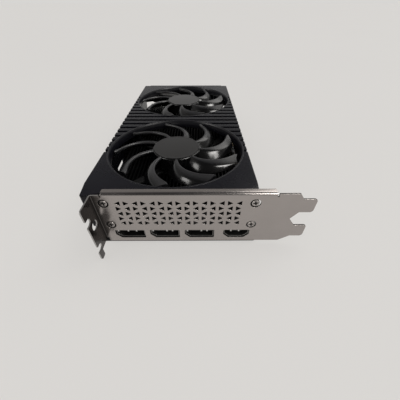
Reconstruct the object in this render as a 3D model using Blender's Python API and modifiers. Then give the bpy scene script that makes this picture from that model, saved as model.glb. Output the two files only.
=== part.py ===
"""Two-fan graphics card, lying on its back plate with the fans up.

The card is laid out in its own frame: X runs from the bracket's screw flange (0) towards the slot
tabs, Y from the bracket's front face (0) towards the tail, Z up from the back plate's underside (0).
An empty then carries that frame so that the world origin is under the middle of the card.
"""
import math

import bmesh
import bpy
from mathutils import Matrix, Vector

# General clearances and resolution
SEAT = 0.0003
WELD = 0.000001
FLAT_ANGLE = 0.001
OVERCUT = 0.002
FILL_SCALE = 1000.0
ARC_STEPS = 4
BEND_STEPS = 2
HOLE_SIDES = 16
BORE_SIDES = 10
STAKE_SIDES = 8
TURN_STEPS = 16
ROTOR_STEPS = 28
OPENING_SIDES = 36

# Slot bracket
BRACKET_REACH = 0.120
BRACKET_THICK = 0.0009
BRACKET_BOTTOM = 0.0022
BRACKET_TOP = 0.0402
BEND_RADIUS = 0.0005
FLANGE_DEPTH = 0.0122
FLANGE_TOP = 0.0393
FLANGE_BOTTOM = 0.0055
FLANGE_CORNER = 0.0015
NOTCH_WIDTH = 0.0044
NOTCH_DEPTH = 0.0044
NOTCH_END_FLAT = 0.0001
NOTCH_UPPER_Z = 0.0295
SLOT_PITCH = 0.02032
PIN_HOLE_DIAMETER = 0.0060
PIN_HOLE_REACH = 0.0061
PIN_HOLE_Z = 0.0234
TAIL_WIDTH = 0.0043
TAIL_OVERHANG = 0.0008
TAIL_TIP_Z = 0.0006
TAB_WIDTH = 0.0097
TAB_LENGTH = 0.0076
TAB_UPPER_Z = 0.0316
TAB_CORNER = 0.0018
TAB_NOTCH_DEPTH = 0.0039
TAB_TOP_CHAMFER = 0.0027
TAB_LOWER_RUN = 0.0064
LIP_START_X = 0.0052
LIP_END_MARGIN = 0.0221
LIP_DEPTH = 0.0042
LIP_TOP = 0.0404
LIP_RELIEF = 0.0008

# Bracket vents
VENT_COLUMNS = 15
VENT_ROWS = 5
VENT_PITCH_X = 0.00469
VENT_PITCH_Z = 0.00385
VENT_FIRST_X = 0.0127
VENT_TOP_Z = 0.0337
VENT_WIDTH = 0.0028
VENT_HEIGHT = 0.0030
VENT_SCREW_SPACE = 0.0060

# Bracket screws
BRACKET_SCREW_LEFT_INSET = 0.0129
BRACKET_SCREW_RIGHT_INSET = 0.0026
BRACKET_SCREW_LOW_Z = 0.0169
BRACKET_SCREW_HIGH_Z = 0.0336
SCREW_HEAD_RADIUS = 0.0026
SCREW_HEAD_HEIGHT = 0.0013
SCREW_SHANK_RADIUS = 0.0012
SCREW_LENGTH = 0.0062
SCREW_CLEARANCE = 0.0003
SCREW_SINK = 0.0001
SCREW_RIM_SHARE = 0.34
RECESS_SHARE = 0.65
RECESS_WIDTH = 0.0007
RECESS_LENGTH = 0.0028
RECESS_DEPTH = 0.0007

# Display sockets
DP_FIRST_X = 0.0150
DP_PITCH = 0.02095
DP_COUNT = 3
DP_WIDTH = 0.0178
HDMI_X = 0.0792
HDMI_WIDTH = 0.0156
PORT_HEIGHT = 0.0068
PORT_CHAMFER = 0.0030
PORT_WALL = 0.00045
PORT_DEPTH = 0.0150
PORT_SETBACK = 0.0008
PORT_BACK_BLOCK = 0.0060
TONGUE_THICK = 0.0012
TONGUE_RECESS = 0.0024
TONGUE_HEIGHT = 0.0034

# Circuit board
BOARD_BOTTOM = 0.0036
BOARD_THICK = 0.0016
BOARD_LEFT_INSET = 0.0032
BOARD_RIGHT_REACH = 0.0046
BOARD_FRONT_GAP = 0.0004
BOARD_END = 0.1720
BOARD_CORNER = 0.0020
EDGE_TIP_X = 0.1034
EDGE_START_Y = 0.0470
EDGE_KEY_Y = 0.0595
EDGE_KEY_WIDTH = 0.0019
EDGE_KEY_DEPTH = 0.0078
EDGE_END_Y = 0.1320
EDGE_CHAMFER = 0.0008

# Processor, memory and power parts on the board
GPU_X = 0.0412
GPU_Y = 0.0900
GPU_SUBSTRATE = 0.0300
GPU_SUBSTRATE_THICK = 0.0012
GPU_DIE_X = 0.0160
GPU_DIE_Y = 0.0170
GPU_DIE_THICK = 0.0007
MEMORY_LONG = 0.0140
MEMORY_SHORT = 0.0120
MEMORY_THICK = 0.0011
MEMORY_REACH = 0.0265
MEMORY_SPREAD = 0.0085
CHOKE_SIDE = 0.0095
CHOKE_HEIGHT = 0.0035
CHOKE_COUNT = 4
CHOKE_PITCH = 0.0125
CHOKE_Y = 0.1420
CHIP_BEVEL = 0.0003
HEADER_LENGTH = 0.0100
HEADER_WIDTH = 0.0045
HEADER_HEIGHT = 0.0050
HEADER_WALL = 0.0007
HEADER_X = 0.0860
HEADER_FRONT_Y = 0.0680
HEADER_REAR_Y = 0.1400

# Eight-way power socket on the flange-side edge of the board
POWER_Y = 0.1560
POWER_CELLS = 4
POWER_ROWS = 2
POWER_PITCH = 0.0042
POWER_CELL = 0.0034
POWER_WALL = 0.0010
POWER_DEPTH = 0.0135
POWER_CELL_DEPTH = 0.0105
POWER_CLEARANCE = 0.0008

# Cold plate, heat pipes and extruded fins
PLATE_SIZE = 0.0700
PLATE_BEVEL = 0.0006
PIPE_COUNT = 3
PIPE_RADIUS = 0.0025
PIPE_PITCH = 0.0140
PIPE_FRONT_Y = 0.0300
PIPE_END_Y = 0.1660
PLATE_FLOOR = 0.0010
FIN_LEFT = 0.0010
FIN_FRONT_Y = 0.0220
FIN_TAIL_GAP = 0.0210
FIN_BASE = 0.0040
FIN_COUNT = 32
FIN_THICK = 0.0008
FIN_TOP = 0.0243

# Fan shroud
SHROUD_LEFT = -0.0077
SHROUD_RIGHT = 0.0898
SHROUD_FRONT = 0.0026
SHROUD_END = 0.2060
SHROUD_TOP = 0.0385
SHROUD_ROOF = 0.0018
SHROUD_WALL = 0.0016
SHROUD_CORNER = 0.0012
SKIRT_BOTTOM = 0.0155
LEFT_SKIRT_BOTTOM = 0.0104
LEFT_SKIRT_END = 0.1440
SIDE_SLOT_BOTTOM = 0.0132
SIDE_SLOT_HEIGHT = 0.0046
SIDE_SLOT_Y = 0.0575
SIDE_SLOT_LENGTH = 0.0160
TAIL_NOTCH_TOP = 0.0235
TAIL_NOTCH_LENGTH = 0.0160
TAIL_NOTCH_WIDTH = 0.0215
TAIL_STEP_WIDTH = 0.0060
TAIL_STEP_DEPTH = 0.0015
FACET_RUN = 0.0095
FACET_DROP = 0.0020
RIB_PITCH = 0.0075
GROOVE_COUNT = 16
GROOVE_WIDTH = 0.0028
GROOVE_DEPTH = 0.0011
COLLAR_WALL = 0.0012
COLLAR_DEPTH = 0.0055
COLLAR_PROUD = 0.0002
CHEEK_LEFT_WIDTH = 0.0165
CHEEK_RIGHT_WIDTH = 0.0068
CHEEK_BOTTOM = 0.0128
CHEEK_DEPTH = 0.0062
BOSS_RADIUS = 0.0021
POST_RADIUS = 0.0031
POST_INSET = 0.0046
POST_FRONT_Y = 0.0185

# Fans
FAN_SPACING = 0.1012
FAN_OPENING_RADIUS = 0.0456
FAN_TIP_RADIUS = 0.0424
FAN_BLADES = 9
FAN_FRONT_PHASE = 27.5
FAN_REAR_PHASE = 20.5
BLADE_SWEEP = 30.5
BLADE_SWEEP_POWER = 1.65
BLADE_CHORD_ROOT = 24.0
BLADE_CHORD_TIP = 13.5
BLADE_TOP = 0.0382
BLADE_HEIGHT = 0.0088
BLADE_THICK = 0.0015
BLADE_STATIONS = 5
BLADE_CHORD_POINTS = 3
HUB_RADIUS = 0.0165
HUB_WALL = 0.0013
HUB_ROOF = 0.0014
HUB_TOP = 0.0380
HUB_BOTTOM = 0.0285
HUB_EDGE = 0.0007
HUB_BOSS_RADIUS = 0.0030
HUB_BOSS_LENGTH = 0.0022
LABEL_RADIUS = 0.0158
LABEL_THICK = 0.0002
SHAFT_RADIUS = 0.0010
SHAFT_PLAY = 0.00006
BEARING_RADIUS = 0.0024
TUBE_RADIUS = 0.0040
MAGNET_THICK = 0.0018
MAGNET_HEIGHT = 0.0062
STATOR_RADIUS = 0.0120
STATOR_HEIGHT = 0.0050
STATOR_POLES = 6
STATOR_TOOTH = 0.0026
STATOR_SHOE = 0.0012
STATOR_SHOE_HALF_ANGLE = 22.0
STATOR_YOKE = 0.0022
FRAME_BOTTOM = 0.0250
FRAME_THICK = 0.0016
FRAME_DISC_RADIUS = 0.0162
FRAME_ARM_WIDTH = 0.0050
FRAME_ARM_REACH = 0.0500
FRAME_ARMS = 4
FRAME_EAR_RADIUS = 0.0038
STAKE_BOSS_RADIUS = 0.0028
STAKE_RADIUS = 0.0012

# Back plate and processor clamp
BACKPLATE_THICK = 0.0010
BACKPLATE_MARGIN = 0.0015
BACKPLATE_BOSS_RADIUS = 0.0040
BACKPLATE_SINK = 0.0013
ACCESS_RADIUS = 0.0036
CLAMP_INSET = 0.00833
CLAMP_THICK = 0.0008
CLAMP_ARM = 0.0080
CLAMP_EYE_RADIUS = 0.0046
CLAMP_SCREW_LENGTH = 0.0078
CLAMP_HEAD_HEIGHT = 0.0010
POST_SCREW_LENGTH = 0.0120
POST_SCREW_HEAD = 0.0008

# Heights and places that follow from the sizes above
LIP_END_X = BRACKET_REACH - LIP_END_MARGIN
BOARD_TOP = BOARD_BOTTOM + BOARD_THICK
PORT_BOTTOM = BOARD_TOP
SUBSTRATE_BASE = BOARD_TOP + SEAT
DIE_BASE = SUBSTRATE_BASE + GPU_SUBSTRATE_THICK + SEAT
PLATE_BASE = DIE_BASE + GPU_DIE_THICK + SEAT
PIPE_Z = PLATE_BASE + PLATE_FLOOR + SEAT + PIPE_RADIUS
PLATE_TOP = PIPE_Z - SEAT / 2
FIN_BASE_BOTTOM = PIPE_Z + SEAT / 2
FIN_END_Y = SHROUD_END - FIN_TAIL_GAP
SHROUD_MID_X = (SHROUD_LEFT + SHROUD_RIGHT) / 2
BOARD_LEFT = SHROUD_LEFT + BOARD_LEFT_INSET
BOARD_RIGHT = SHROUD_RIGHT + BOARD_RIGHT_REACH
SHROUD_MID_Y = (SHROUD_FRONT + SHROUD_END) / 2
FIN_RIGHT = 2 * SHROUD_MID_X - FIN_LEFT
FAN_FRONT_Y = SHROUD_MID_Y - FAN_SPACING / 2
FAN_REAR_Y = SHROUD_MID_Y + FAN_SPACING / 2
POST_PLACES = [
    (SHROUD_LEFT + POST_INSET, POST_FRONT_Y),
    (SHROUD_RIGHT - POST_INSET, POST_FRONT_Y),
    (SHROUD_LEFT + POST_INSET, SHROUD_MID_Y),
    (SHROUD_RIGHT - POST_INSET, SHROUD_MID_Y),
]
CLAMP_PITCH = PLATE_SIZE - 2 * CLAMP_INSET
CLAMP_PLACES = [
    (GPU_X + side * CLAMP_PITCH / 2, GPU_Y + end * CLAMP_PITCH / 2)
    for side in (-1, 1)
    for end in (-1, 1)
]
BRACKET_SCREW_LEFT_X = SHROUD_LEFT + BRACKET_SCREW_LEFT_INSET
BRACKET_SCREW_RIGHT_X = SHROUD_RIGHT - BRACKET_SCREW_RIGHT_INSET
BRACKET_SCREW_PLACES = {
    "lower_left": (BRACKET_SCREW_LEFT_X, BRACKET_SCREW_LOW_Z),
    "upper_left": (BRACKET_SCREW_LEFT_X, BRACKET_SCREW_HIGH_Z),
    "lower_right": (BRACKET_SCREW_RIGHT_X, BRACKET_SCREW_LOW_Z),
    "upper_right": (BRACKET_SCREW_RIGHT_X, BRACKET_SCREW_HIGH_Z),
}
DP_PLACES = [DP_FIRST_X + index * DP_PITCH for index in range(DP_COUNT)]
CARD_LEFT = min(SHROUD_LEFT, -BRACKET_THICK)
CARD_FRONT = -(FLANGE_DEPTH + TAIL_OVERHANG)
CARD_MIDDLE = Vector(((CARD_LEFT + BRACKET_REACH) / 2, (CARD_FRONT + SHROUD_END) / 2, 0))

# How an outline's plane is turned: XY lies flat, XZ faces the bracket's front, YZ faces the flange
PLANE_TURN = {
    "XY": (0, 0, 0),
    "XZ": (math.pi / 2, 0, 0),
    "YZ": (math.pi / 2, 0, math.pi / 2),
}
PLANE_AXIS = {"XY": Vector((0, 0, 1)), "XZ": Vector((0, 1, 0)), "YZ": Vector((1, 0, 0))}


# Scene set-up
for old_object in list(bpy.data.objects):
    bpy.data.objects.remove(old_object, do_unlink=True)

PARTS = bpy.data.collections.new("graphics_card")
CUTTERS = bpy.data.collections.new("construction")
bpy.context.scene.collection.children.link(PARTS)
bpy.context.scene.collection.children.link(CUTTERS)

CARD = bpy.data.objects.new("card_frame", None)
CARD.location = -CARD_MIDDLE
PARTS.objects.link(CARD)


def material(name, colour, roughness, metallic):
    """Make one plain material."""
    made = bpy.data.materials.new(name)
    made.use_nodes = True
    shader = made.node_tree.nodes["Principled BSDF"]
    shader.inputs["Base Color"].default_value = (*colour, 1.0)
    shader.inputs["Roughness"].default_value = roughness
    shader.inputs["Metallic"].default_value = metallic
    return made


NICKEL = material("nickel_steel", (0.42, 0.40, 0.38), 0.35, 1.0)
DARK_STEEL = material("dark_steel", (0.10, 0.10, 0.10), 0.40, 1.0)
BRIGHT_STEEL = material("bright_steel", (0.60, 0.60, 0.60), 0.30, 1.0)
SHROUD_PLASTIC = material("shroud_plastic", (0.012, 0.012, 0.016), 0.45, 0.0)
FAN_PLASTIC = material("fan_plastic", (0.010, 0.010, 0.010), 0.22, 0.0)
LABEL_FILM = material("label_film", (0.055, 0.052, 0.050), 0.50, 0.0)
BLACK_PLASTIC = material("black_plastic", (0.015, 0.015, 0.015), 0.50, 0.0)
BOARD_MASK = material("board_mask", (0.010, 0.014, 0.012), 0.40, 0.0)
CHIP_RESIN = material("chip_resin", (0.020, 0.020, 0.022), 0.55, 0.0)
SILICON = material("silicon", (0.25, 0.25, 0.28), 0.15, 0.6)
COPPER = material("copper", (0.72, 0.36, 0.20), 0.30, 1.0)
ALUMINIUM = material("aluminium", (0.55, 0.55, 0.56), 0.40, 1.0)
FERRITE = material("ferrite", (0.09, 0.09, 0.09), 0.70, 0.0)
PLATE_PAINT = material("plate_paint", (0.015, 0.015, 0.017), 0.45, 0.3)


# Modelling helpers
def add_part(part, finish):
    """Give a finished piece its material, and hang it on the card."""
    part.data.materials.clear()
    part.data.materials.append(finish)
    part.parent = CARD
    PARTS.objects.link(part)
    return part


def add_cutter(cutter):
    """Keep a cutting or joining shape out of the finished card."""
    cutter.parent = CARD
    cutter.hide_render = True
    cutter.display_type = "WIRE"
    CUTTERS.objects.link(cutter)
    return cutter


def boolean(part, cutter, operation):
    """Cut a shape from a piece, or join it on."""
    step = part.modifiers.new(cutter.name, "BOOLEAN")
    step.operation = operation
    step.solver = "EXACT"
    step.object = cutter
    return part


def cut(part, cutter):
    """Take a cutter's shape out of a piece."""
    return boolean(part, add_cutter(cutter), "DIFFERENCE")


def join(part, addition):
    """Join an added shape to a piece."""
    return boolean(part, add_cutter(addition), "UNION")


def evaluated_mesh(item):
    """Return a copy of an object's mesh with its modifiers in it."""
    bpy.context.view_layer.update()
    depsgraph = bpy.context.evaluated_depsgraph_get()
    return bpy.data.meshes.new_from_object(item.evaluated_get(depsgraph))


def bake(item):
    """Turn a piece and its modifiers into one plain mesh, so that copies can share it."""
    bpy.context.scene.collection.objects.link(item)
    mesh = evaluated_mesh(item)
    bpy.data.objects.remove(item, do_unlink=True)
    return mesh


def mesh_object(name, work):
    """Make an object from a bmesh, with its faces pointing out."""
    bmesh.ops.recalc_face_normals(work, faces=work.faces)
    mesh = bpy.data.meshes.new(name)
    work.to_mesh(mesh)
    work.free()
    return bpy.data.objects.new(name, mesh)


def circle(centre_x, centre_y, radius, sides):
    """Points round a circle."""
    return [
        (
            centre_x + radius * math.cos(2 * math.pi * step / sides),
            centre_y + radius * math.sin(2 * math.pi * step / sides),
        )
        for step in range(sides)
    ]


def rounded(corners):
    """Outline through (x, y, radius) corners, each corner replaced by a tangent arc."""
    outline = []
    for index, (x, y, radius) in enumerate(corners):
        here = Vector((x, y))
        if radius <= 0:
            outline.append((x, y))
            continue
        before = Vector(corners[index - 1][:2]) - here
        after = Vector(corners[(index + 1) % len(corners)][:2]) - here
        before.normalize()
        after.normalize()
        half = before.angle(after) / 2
        centre = here + (before + after).normalized() * (radius / math.sin(half))
        start = here + before * (radius / math.tan(half)) - centre
        end = here + after * (radius / math.tan(half)) - centre
        turn = math.atan2(start.x * end.y - start.y * end.x, start.dot(end))
        for step in range(ARC_STEPS + 1):
            angle = math.atan2(start.y, start.x) + turn * step / ARC_STEPS
            outline.append((centre.x + radius * math.cos(angle), centre.y + radius * math.sin(angle)))
    return outline


def rectangle(low_x, low_y, high_x, high_y, radius=0.0):
    """Outline of a rectangle with rounded corners."""
    return rounded(
        [(low_x, low_y, radius), (high_x, low_y, radius), (high_x, high_y, radius), (low_x, high_y, radius)]
    )


def outline_mesh(name, loops, thickness):
    """Fill closed loops, the outline and then its holes, and give the sheet its thickness."""
    curve = bpy.data.curves.new(name, "CURVE")
    curve.dimensions = "2D"
    curve.fill_mode = "BOTH"
    curve.extrude = thickness * FILL_SCALE / 2
    for loop in loops:
        spline = curve.splines.new("POLY")
        spline.points.add(len(loop) - 1)
        for point, (u, v) in zip(spline.points, loop):
            point.co = (u * FILL_SCALE, v * FILL_SCALE, 0, 1)
        spline.use_cyclic_u = True
    sheet = bpy.data.objects.new(name, curve)
    bpy.context.scene.collection.objects.link(sheet)
    mesh = evaluated_mesh(sheet)
    bpy.data.objects.remove(sheet, do_unlink=True)
    work = bmesh.new()
    work.from_mesh(mesh)
    bmesh.ops.scale(work, vec=(1 / FILL_SCALE,) * 3, verts=work.verts)
    bmesh.ops.remove_doubles(work, verts=work.verts, dist=WELD)
    bmesh.ops.recalc_face_normals(work, faces=work.faces)
    work.to_mesh(mesh)
    work.free()
    return mesh


def flat_solid(name, loops, low, high, plane="XY"):
    """Flat piece with the given outline and holes, between two levels of a plane."""
    piece = bpy.data.objects.new(name, outline_mesh(name, loops, high - low))
    piece.rotation_euler = PLANE_TURN[plane]
    piece.location = PLANE_AXIS[plane] * ((low + high) / 2)
    return piece


def boxes(name, corner_pairs):
    """One mesh of separate boxes, each given by its low and high corner."""
    work = bmesh.new()
    for low, high in corner_pairs:
        low = Vector(low)
        high = Vector(high)
        made = bmesh.ops.create_cube(work, size=1)
        bmesh.ops.scale(work, vec=high - low, verts=made["verts"])
        bmesh.ops.translate(work, vec=(low + high) / 2, verts=made["verts"])
    return mesh_object(name, work)


def cylinders(name, places, radius, low, high, sides):
    """One mesh of separate upright cylinders at the given places."""
    work = bmesh.new()
    for x, y in places:
        made = bmesh.ops.create_cone(
            work, cap_ends=True, segments=sides, radius1=radius, radius2=radius, depth=high - low
        )
        bmesh.ops.translate(work, vec=(x, y, (low + high) / 2), verts=made["verts"])
    return mesh_object(name, work)


def pins_along_y(name, places, radius, low, high, sides):
    """One mesh of separate cylinders that lie along Y at the given X and Z."""
    work = bmesh.new()
    for x, z in places:
        place = Matrix.Translation((x, (low + high) / 2, z)) @ Matrix.Rotation(math.pi / 2, 4, "X")
        bmesh.ops.create_cone(
            work,
            cap_ends=True,
            segments=sides,
            radius1=radius,
            radius2=radius,
            depth=high - low,
            matrix=place,
        )
    return mesh_object(name, work)


def turned(name, profile, closed=False):
    """Turn a profile of (radius, height) points round Z, top to bottom on its outer side."""
    work = bmesh.new()
    verts = [work.verts.new((radius, 0, height)) for radius, height in profile]
    for first, second in zip(verts, verts[1:]):
        work.edges.new((first, second))
    if closed:
        work.edges.new((verts[-1], verts[0]))
    mesh = bpy.data.meshes.new(name)
    work.to_mesh(mesh)
    work.free()
    piece = bpy.data.objects.new(name, mesh)
    screw = piece.modifiers.new("turn", "SCREW")
    screw.axis = "Z"
    screw.steps = TURN_STEPS
    screw.render_steps = TURN_STEPS
    screw.use_merge_vertices = True
    screw.merge_threshold = WELD
    screw.use_smooth_shade = True
    return piece


def ring(name, inner, outer, low, high):
    """Plain turned ring."""
    return turned(name, [(inner, high), (outer, high), (outer, low), (inner, low)], closed=True)


def bevelled(piece, width):
    """Break the edges of a moulded or cast piece."""
    bevel = piece.modifiers.new("edges", "BEVEL")
    bevel.width = width
    bevel.segments = 1
    return piece


# Slot bracket: one flat blank, then the flange and the top lip are folded
def flange_fold():
    """Length of the blank that the flange's bend takes up."""
    return (BEND_RADIUS + BRACKET_THICK / 2) * math.pi / 2


def lip_bend_z():
    """Height at which the top lip starts to fold back."""
    return LIP_TOP - BRACKET_THICK - BEND_RADIUS


def blank_x(reach):
    """Blank position of a point on the flange, given its reach in front of the plate."""
    return BEND_RADIUS - flange_fold() - (reach - BEND_RADIUS)


def bracket_outline():
    """Outline of the bracket's blank, anticlockwise from the plate's lower left corner."""
    tab_root = BRACKET_REACH - TAB_LENGTH
    upper_low = TAB_UPPER_Z - TAB_WIDTH / 2
    upper_high = TAB_UPPER_Z + TAB_WIDTH / 2
    lower_low = upper_low - SLOT_PITCH
    lower_high = upper_high - SLOT_PITCH
    edge = blank_x(FLANGE_DEPTH)
    tail_edge = blank_x(FLANGE_DEPTH + TAIL_OVERHANG)
    tail_inner = tail_edge + TAIL_WIDTH
    lip_top = lip_bend_z() + flange_fold() + LIP_DEPTH - BRACKET_THICK - BEND_RADIUS
    relief_z = lip_bend_z() - BEND_RADIUS
    half_notch = NOTCH_WIDTH / 2
    notch_round = half_notch - NOTCH_END_FLAT / 2
    notches = []
    for notch_z in (NOTCH_UPPER_Z, NOTCH_UPPER_Z - SLOT_PITCH):
        notches += [
            (edge, notch_z + half_notch, 0),
            (edge + NOTCH_DEPTH, notch_z + half_notch, notch_round),
            (edge + NOTCH_DEPTH, notch_z - half_notch, notch_round),
            (edge, notch_z - half_notch, 0),
        ]
    plate_start = 2 * BEND_RADIUS
    return rounded(
        [
            (plate_start, BRACKET_BOTTOM, BEND_RADIUS),
            (tab_root - TAB_LOWER_RUN, BRACKET_BOTTOM, TAB_CORNER),
            (tab_root, lower_low, 0),
            (BRACKET_REACH, lower_low, TAB_CORNER),
            (BRACKET_REACH, lower_high, TAB_CORNER),
            (tab_root, lower_high, 0),
            (tab_root - TAB_NOTCH_DEPTH, (lower_high + upper_low) / 2, BEND_RADIUS),
            (tab_root, upper_low, 0),
            (BRACKET_REACH, upper_low, TAB_CORNER),
            (BRACKET_REACH, upper_high, TAB_CORNER),
            (tab_root, upper_high, 0),
            (tab_root - TAB_TOP_CHAMFER, BRACKET_TOP, 0),
            (LIP_END_X + LIP_RELIEF, BRACKET_TOP, 0),
            (LIP_END_X + LIP_RELIEF, relief_z, 0),
            (LIP_END_X, relief_z, 0),
            (LIP_END_X, lip_top, BEND_RADIUS),
            (LIP_START_X, lip_top, BEND_RADIUS),
            (LIP_START_X, FLANGE_TOP - BEND_RADIUS, 0),
            (LIP_START_X - LIP_RELIEF, FLANGE_TOP - BEND_RADIUS, 0),
            (LIP_START_X - LIP_RELIEF, FLANGE_TOP, 0),
            (edge, FLANGE_TOP, FLANGE_CORNER),
        ]
        + notches
        + [
            (tail_edge, NOTCH_UPPER_Z - SLOT_PITCH - half_notch, 0),
            (tail_edge, TAIL_TIP_Z, TAIL_WIDTH / 2 - BEND_RADIUS),
            (tail_inner, TAIL_TIP_Z, BEND_RADIUS),
            (tail_inner, FLANGE_BOTTOM, BEND_RADIUS),
            (plate_start, FLANGE_BOTTOM, 0),
        ]
    )


def vent_outlines():
    """Triangular vents that point left and right in turn, as on a chequerboard, clear of the screws."""
    screws = list(BRACKET_SCREW_PLACES.values())
    outlines = []
    for column in range(VENT_COLUMNS):
        for row in range(VENT_ROWS):
            x = VENT_FIRST_X + column * VENT_PITCH_X
            z = VENT_TOP_Z - row * VENT_PITCH_Z
            if min(math.dist((x, z), screw) for screw in screws) < VENT_SCREW_SPACE:
                continue
            way = -1 if (column + row) % 2 == 0 else 1
            base = x - way * VENT_WIDTH / 2
            tip = x + way * VENT_WIDTH / 2
            outlines.append([(tip, z), (base, z + VENT_HEIGHT / 2), (base, z - VENT_HEIGHT / 2)])
    return outlines


def port_outline(centre_x, width, chamfer_right, inset):
    """Outline of a display socket, with its lower corners cut off on one side or on both."""
    left = centre_x - width / 2 + inset
    right = centre_x + width / 2 - inset
    low = PORT_BOTTOM + inset
    high = PORT_BOTTOM + PORT_HEIGHT - inset
    chamfer = PORT_CHAMFER - inset * (2 - math.sqrt(2))
    outline = [(left, high), (left, low + chamfer), (left + chamfer, low)]
    if chamfer_right:
        outline += [(right - chamfer, low), (right, low + chamfer)]
    else:
        outline += [(right, low)]
    return outline + [(right, high)]


def fold_flange(vert):
    """Fold a point of the blank round the flange's bend, towards the front."""
    along = BEND_RADIUS - vert.co.x
    if along <= 0:
        return
    radius = BEND_RADIUS + vert.co.y
    angle = min(along / flange_fold(), 1.0) * math.pi / 2
    straight = max(along - flange_fold(), 0.0)
    vert.co.x = BEND_RADIUS - radius * math.sin(angle)
    vert.co.y = -BEND_RADIUS + radius * math.cos(angle) - straight


def fold_lip(vert):
    """Fold a point of the blank round the top lip's bend, towards the tail."""
    along = vert.co.z - lip_bend_z()
    if along <= 0 or not LIP_START_X - WELD <= vert.co.x <= LIP_END_X + WELD:
        return
    radius = BRACKET_THICK + BEND_RADIUS - vert.co.y
    angle = min(along / flange_fold(), 1.0) * math.pi / 2
    straight = max(along - flange_fold(), 0.0)
    vert.co.y = BRACKET_THICK + BEND_RADIUS - radius * math.cos(angle) + straight
    vert.co.z = lip_bend_z() + radius * math.sin(angle)


def make_bracket():
    """Bracket plate with its flange, slot tabs, top lip, vents and socket cut-outs."""
    hole_radius = SCREW_HEAD_RADIUS + SCREW_CLEARANCE
    loops = [bracket_outline()]
    loops.append(circle(blank_x(PIN_HOLE_REACH), PIN_HOLE_Z, PIN_HOLE_DIAMETER / 2, HOLE_SIDES))
    loops += [circle(x, z, hole_radius, HOLE_SIDES) for x, z in BRACKET_SCREW_PLACES.values()]
    loops += vent_outlines()
    loops += [port_outline(x, DP_WIDTH, False, 0) for x in DP_PLACES]
    loops.append(port_outline(HDMI_X, HDMI_WIDTH, True, 0))
    work = bmesh.new()
    work.from_mesh(outline_mesh("io_bracket", loops, BRACKET_THICK))
    for vert in work.verts:
        u, v, level = vert.co
        vert.co = (u, BRACKET_THICK / 2 - level, v)
    for step in range(BEND_STEPS + 1):
        share = flange_fold() * step / BEND_STEPS
        for point, normal in (
            ((BEND_RADIUS - share, 0, 0), (1, 0, 0)),
            ((0, 0, lip_bend_z() + share), (0, 0, 1)),
        ):
            geometry = work.verts[:] + work.edges[:] + work.faces[:]
            bmesh.ops.bisect_plane(work, geom=geometry, dist=WELD, plane_co=point, plane_no=normal)
    for vert in work.verts:
        fold_lip(vert)
        fold_flange(vert)
    bmesh.ops.dissolve_limit(work, angle_limit=FLAT_ANGLE, verts=work.verts, edges=work.edges)
    bmesh.ops.triangulate(work, faces=work.faces)
    add_part(mesh_object("io_bracket", work), NICKEL)


# Screws
def screw_mesh(name, head_height, length, flat_head):
    """Cross-head screw with its head up: flat on top at zero, shank down."""
    under = SCREW_SHANK_RADIUS if flat_head else SCREW_HEAD_RADIUS
    profile = [
        (0, 0),
        (SCREW_HEAD_RADIUS, 0),
        (SCREW_HEAD_RADIUS, -head_height * SCREW_RIM_SHARE),
        (under, -head_height),
    ]
    if not flat_head:
        profile.append((SCREW_SHANK_RADIUS, -head_height))
    profile += [(SCREW_SHANK_RADIUS, -length), (0, -length)]
    screw = turned(name, profile)
    screw.modifiers["turn"].steps = BORE_SIDES
    screw.modifiers["turn"].render_steps = BORE_SIDES
    half_length = RECESS_LENGTH / 2
    half_width = RECESS_WIDTH / 2
    depth = min(RECESS_DEPTH, head_height * RECESS_SHARE)
    slots = []
    for half_x, half_y in ((half_length, half_width), (half_width, half_length)):
        slot = boxes(name + "_recess", [((-half_x, -half_y, -depth), (half_x, half_y, OVERCUT))])
        bpy.context.scene.collection.objects.link(slot)
        boolean(screw, slot, "DIFFERENCE")
        slots.append(slot)
    mesh = bake(screw)
    for slot in slots:
        bpy.data.objects.remove(slot, do_unlink=True)
    return mesh


def make_screws():
    """Screws of the bracket, the back plate and the processor clamp."""
    bracket_mesh = screw_mesh("bracket_screw", SCREW_HEAD_HEIGHT, SCREW_LENGTH, True)
    for place, (x, z) in BRACKET_SCREW_PLACES.items():
        screw = bpy.data.objects.new("bracket_screw_" + place, bracket_mesh)
        screw.location = (x, SCREW_SINK, z)
        screw.rotation_euler = (math.pi / 2, 0, 0)
        add_part(screw, DARK_STEEL)
    post_mesh = screw_mesh("backplate_screw", POST_SCREW_HEAD, POST_SCREW_LENGTH, False)
    post_head_z = BACKPLATE_SINK - SEAT - POST_SCREW_HEAD
    for index, (x, y) in enumerate(POST_PLACES, start=1):
        screw = bpy.data.objects.new("backplate_screw_%d" % index, post_mesh)
        screw.location = (x, y, post_head_z)
        screw.rotation_euler = (math.pi, 0, 0)
        add_part(screw, BRIGHT_STEEL)
    clamp_mesh = screw_mesh("clamp_screw", CLAMP_HEAD_HEIGHT, CLAMP_SCREW_LENGTH, False)
    clamp_head_z = BOARD_BOTTOM - SEAT - CLAMP_THICK - SEAT - CLAMP_HEAD_HEIGHT
    for index, (x, y) in enumerate(CLAMP_PLACES, start=1):
        screw = bpy.data.objects.new("clamp_screw_%d" % index, clamp_mesh)
        screw.location = (x, y, clamp_head_z)
        screw.rotation_euler = (math.pi, 0, 0)
        add_part(screw, BRIGHT_STEEL)


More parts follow.
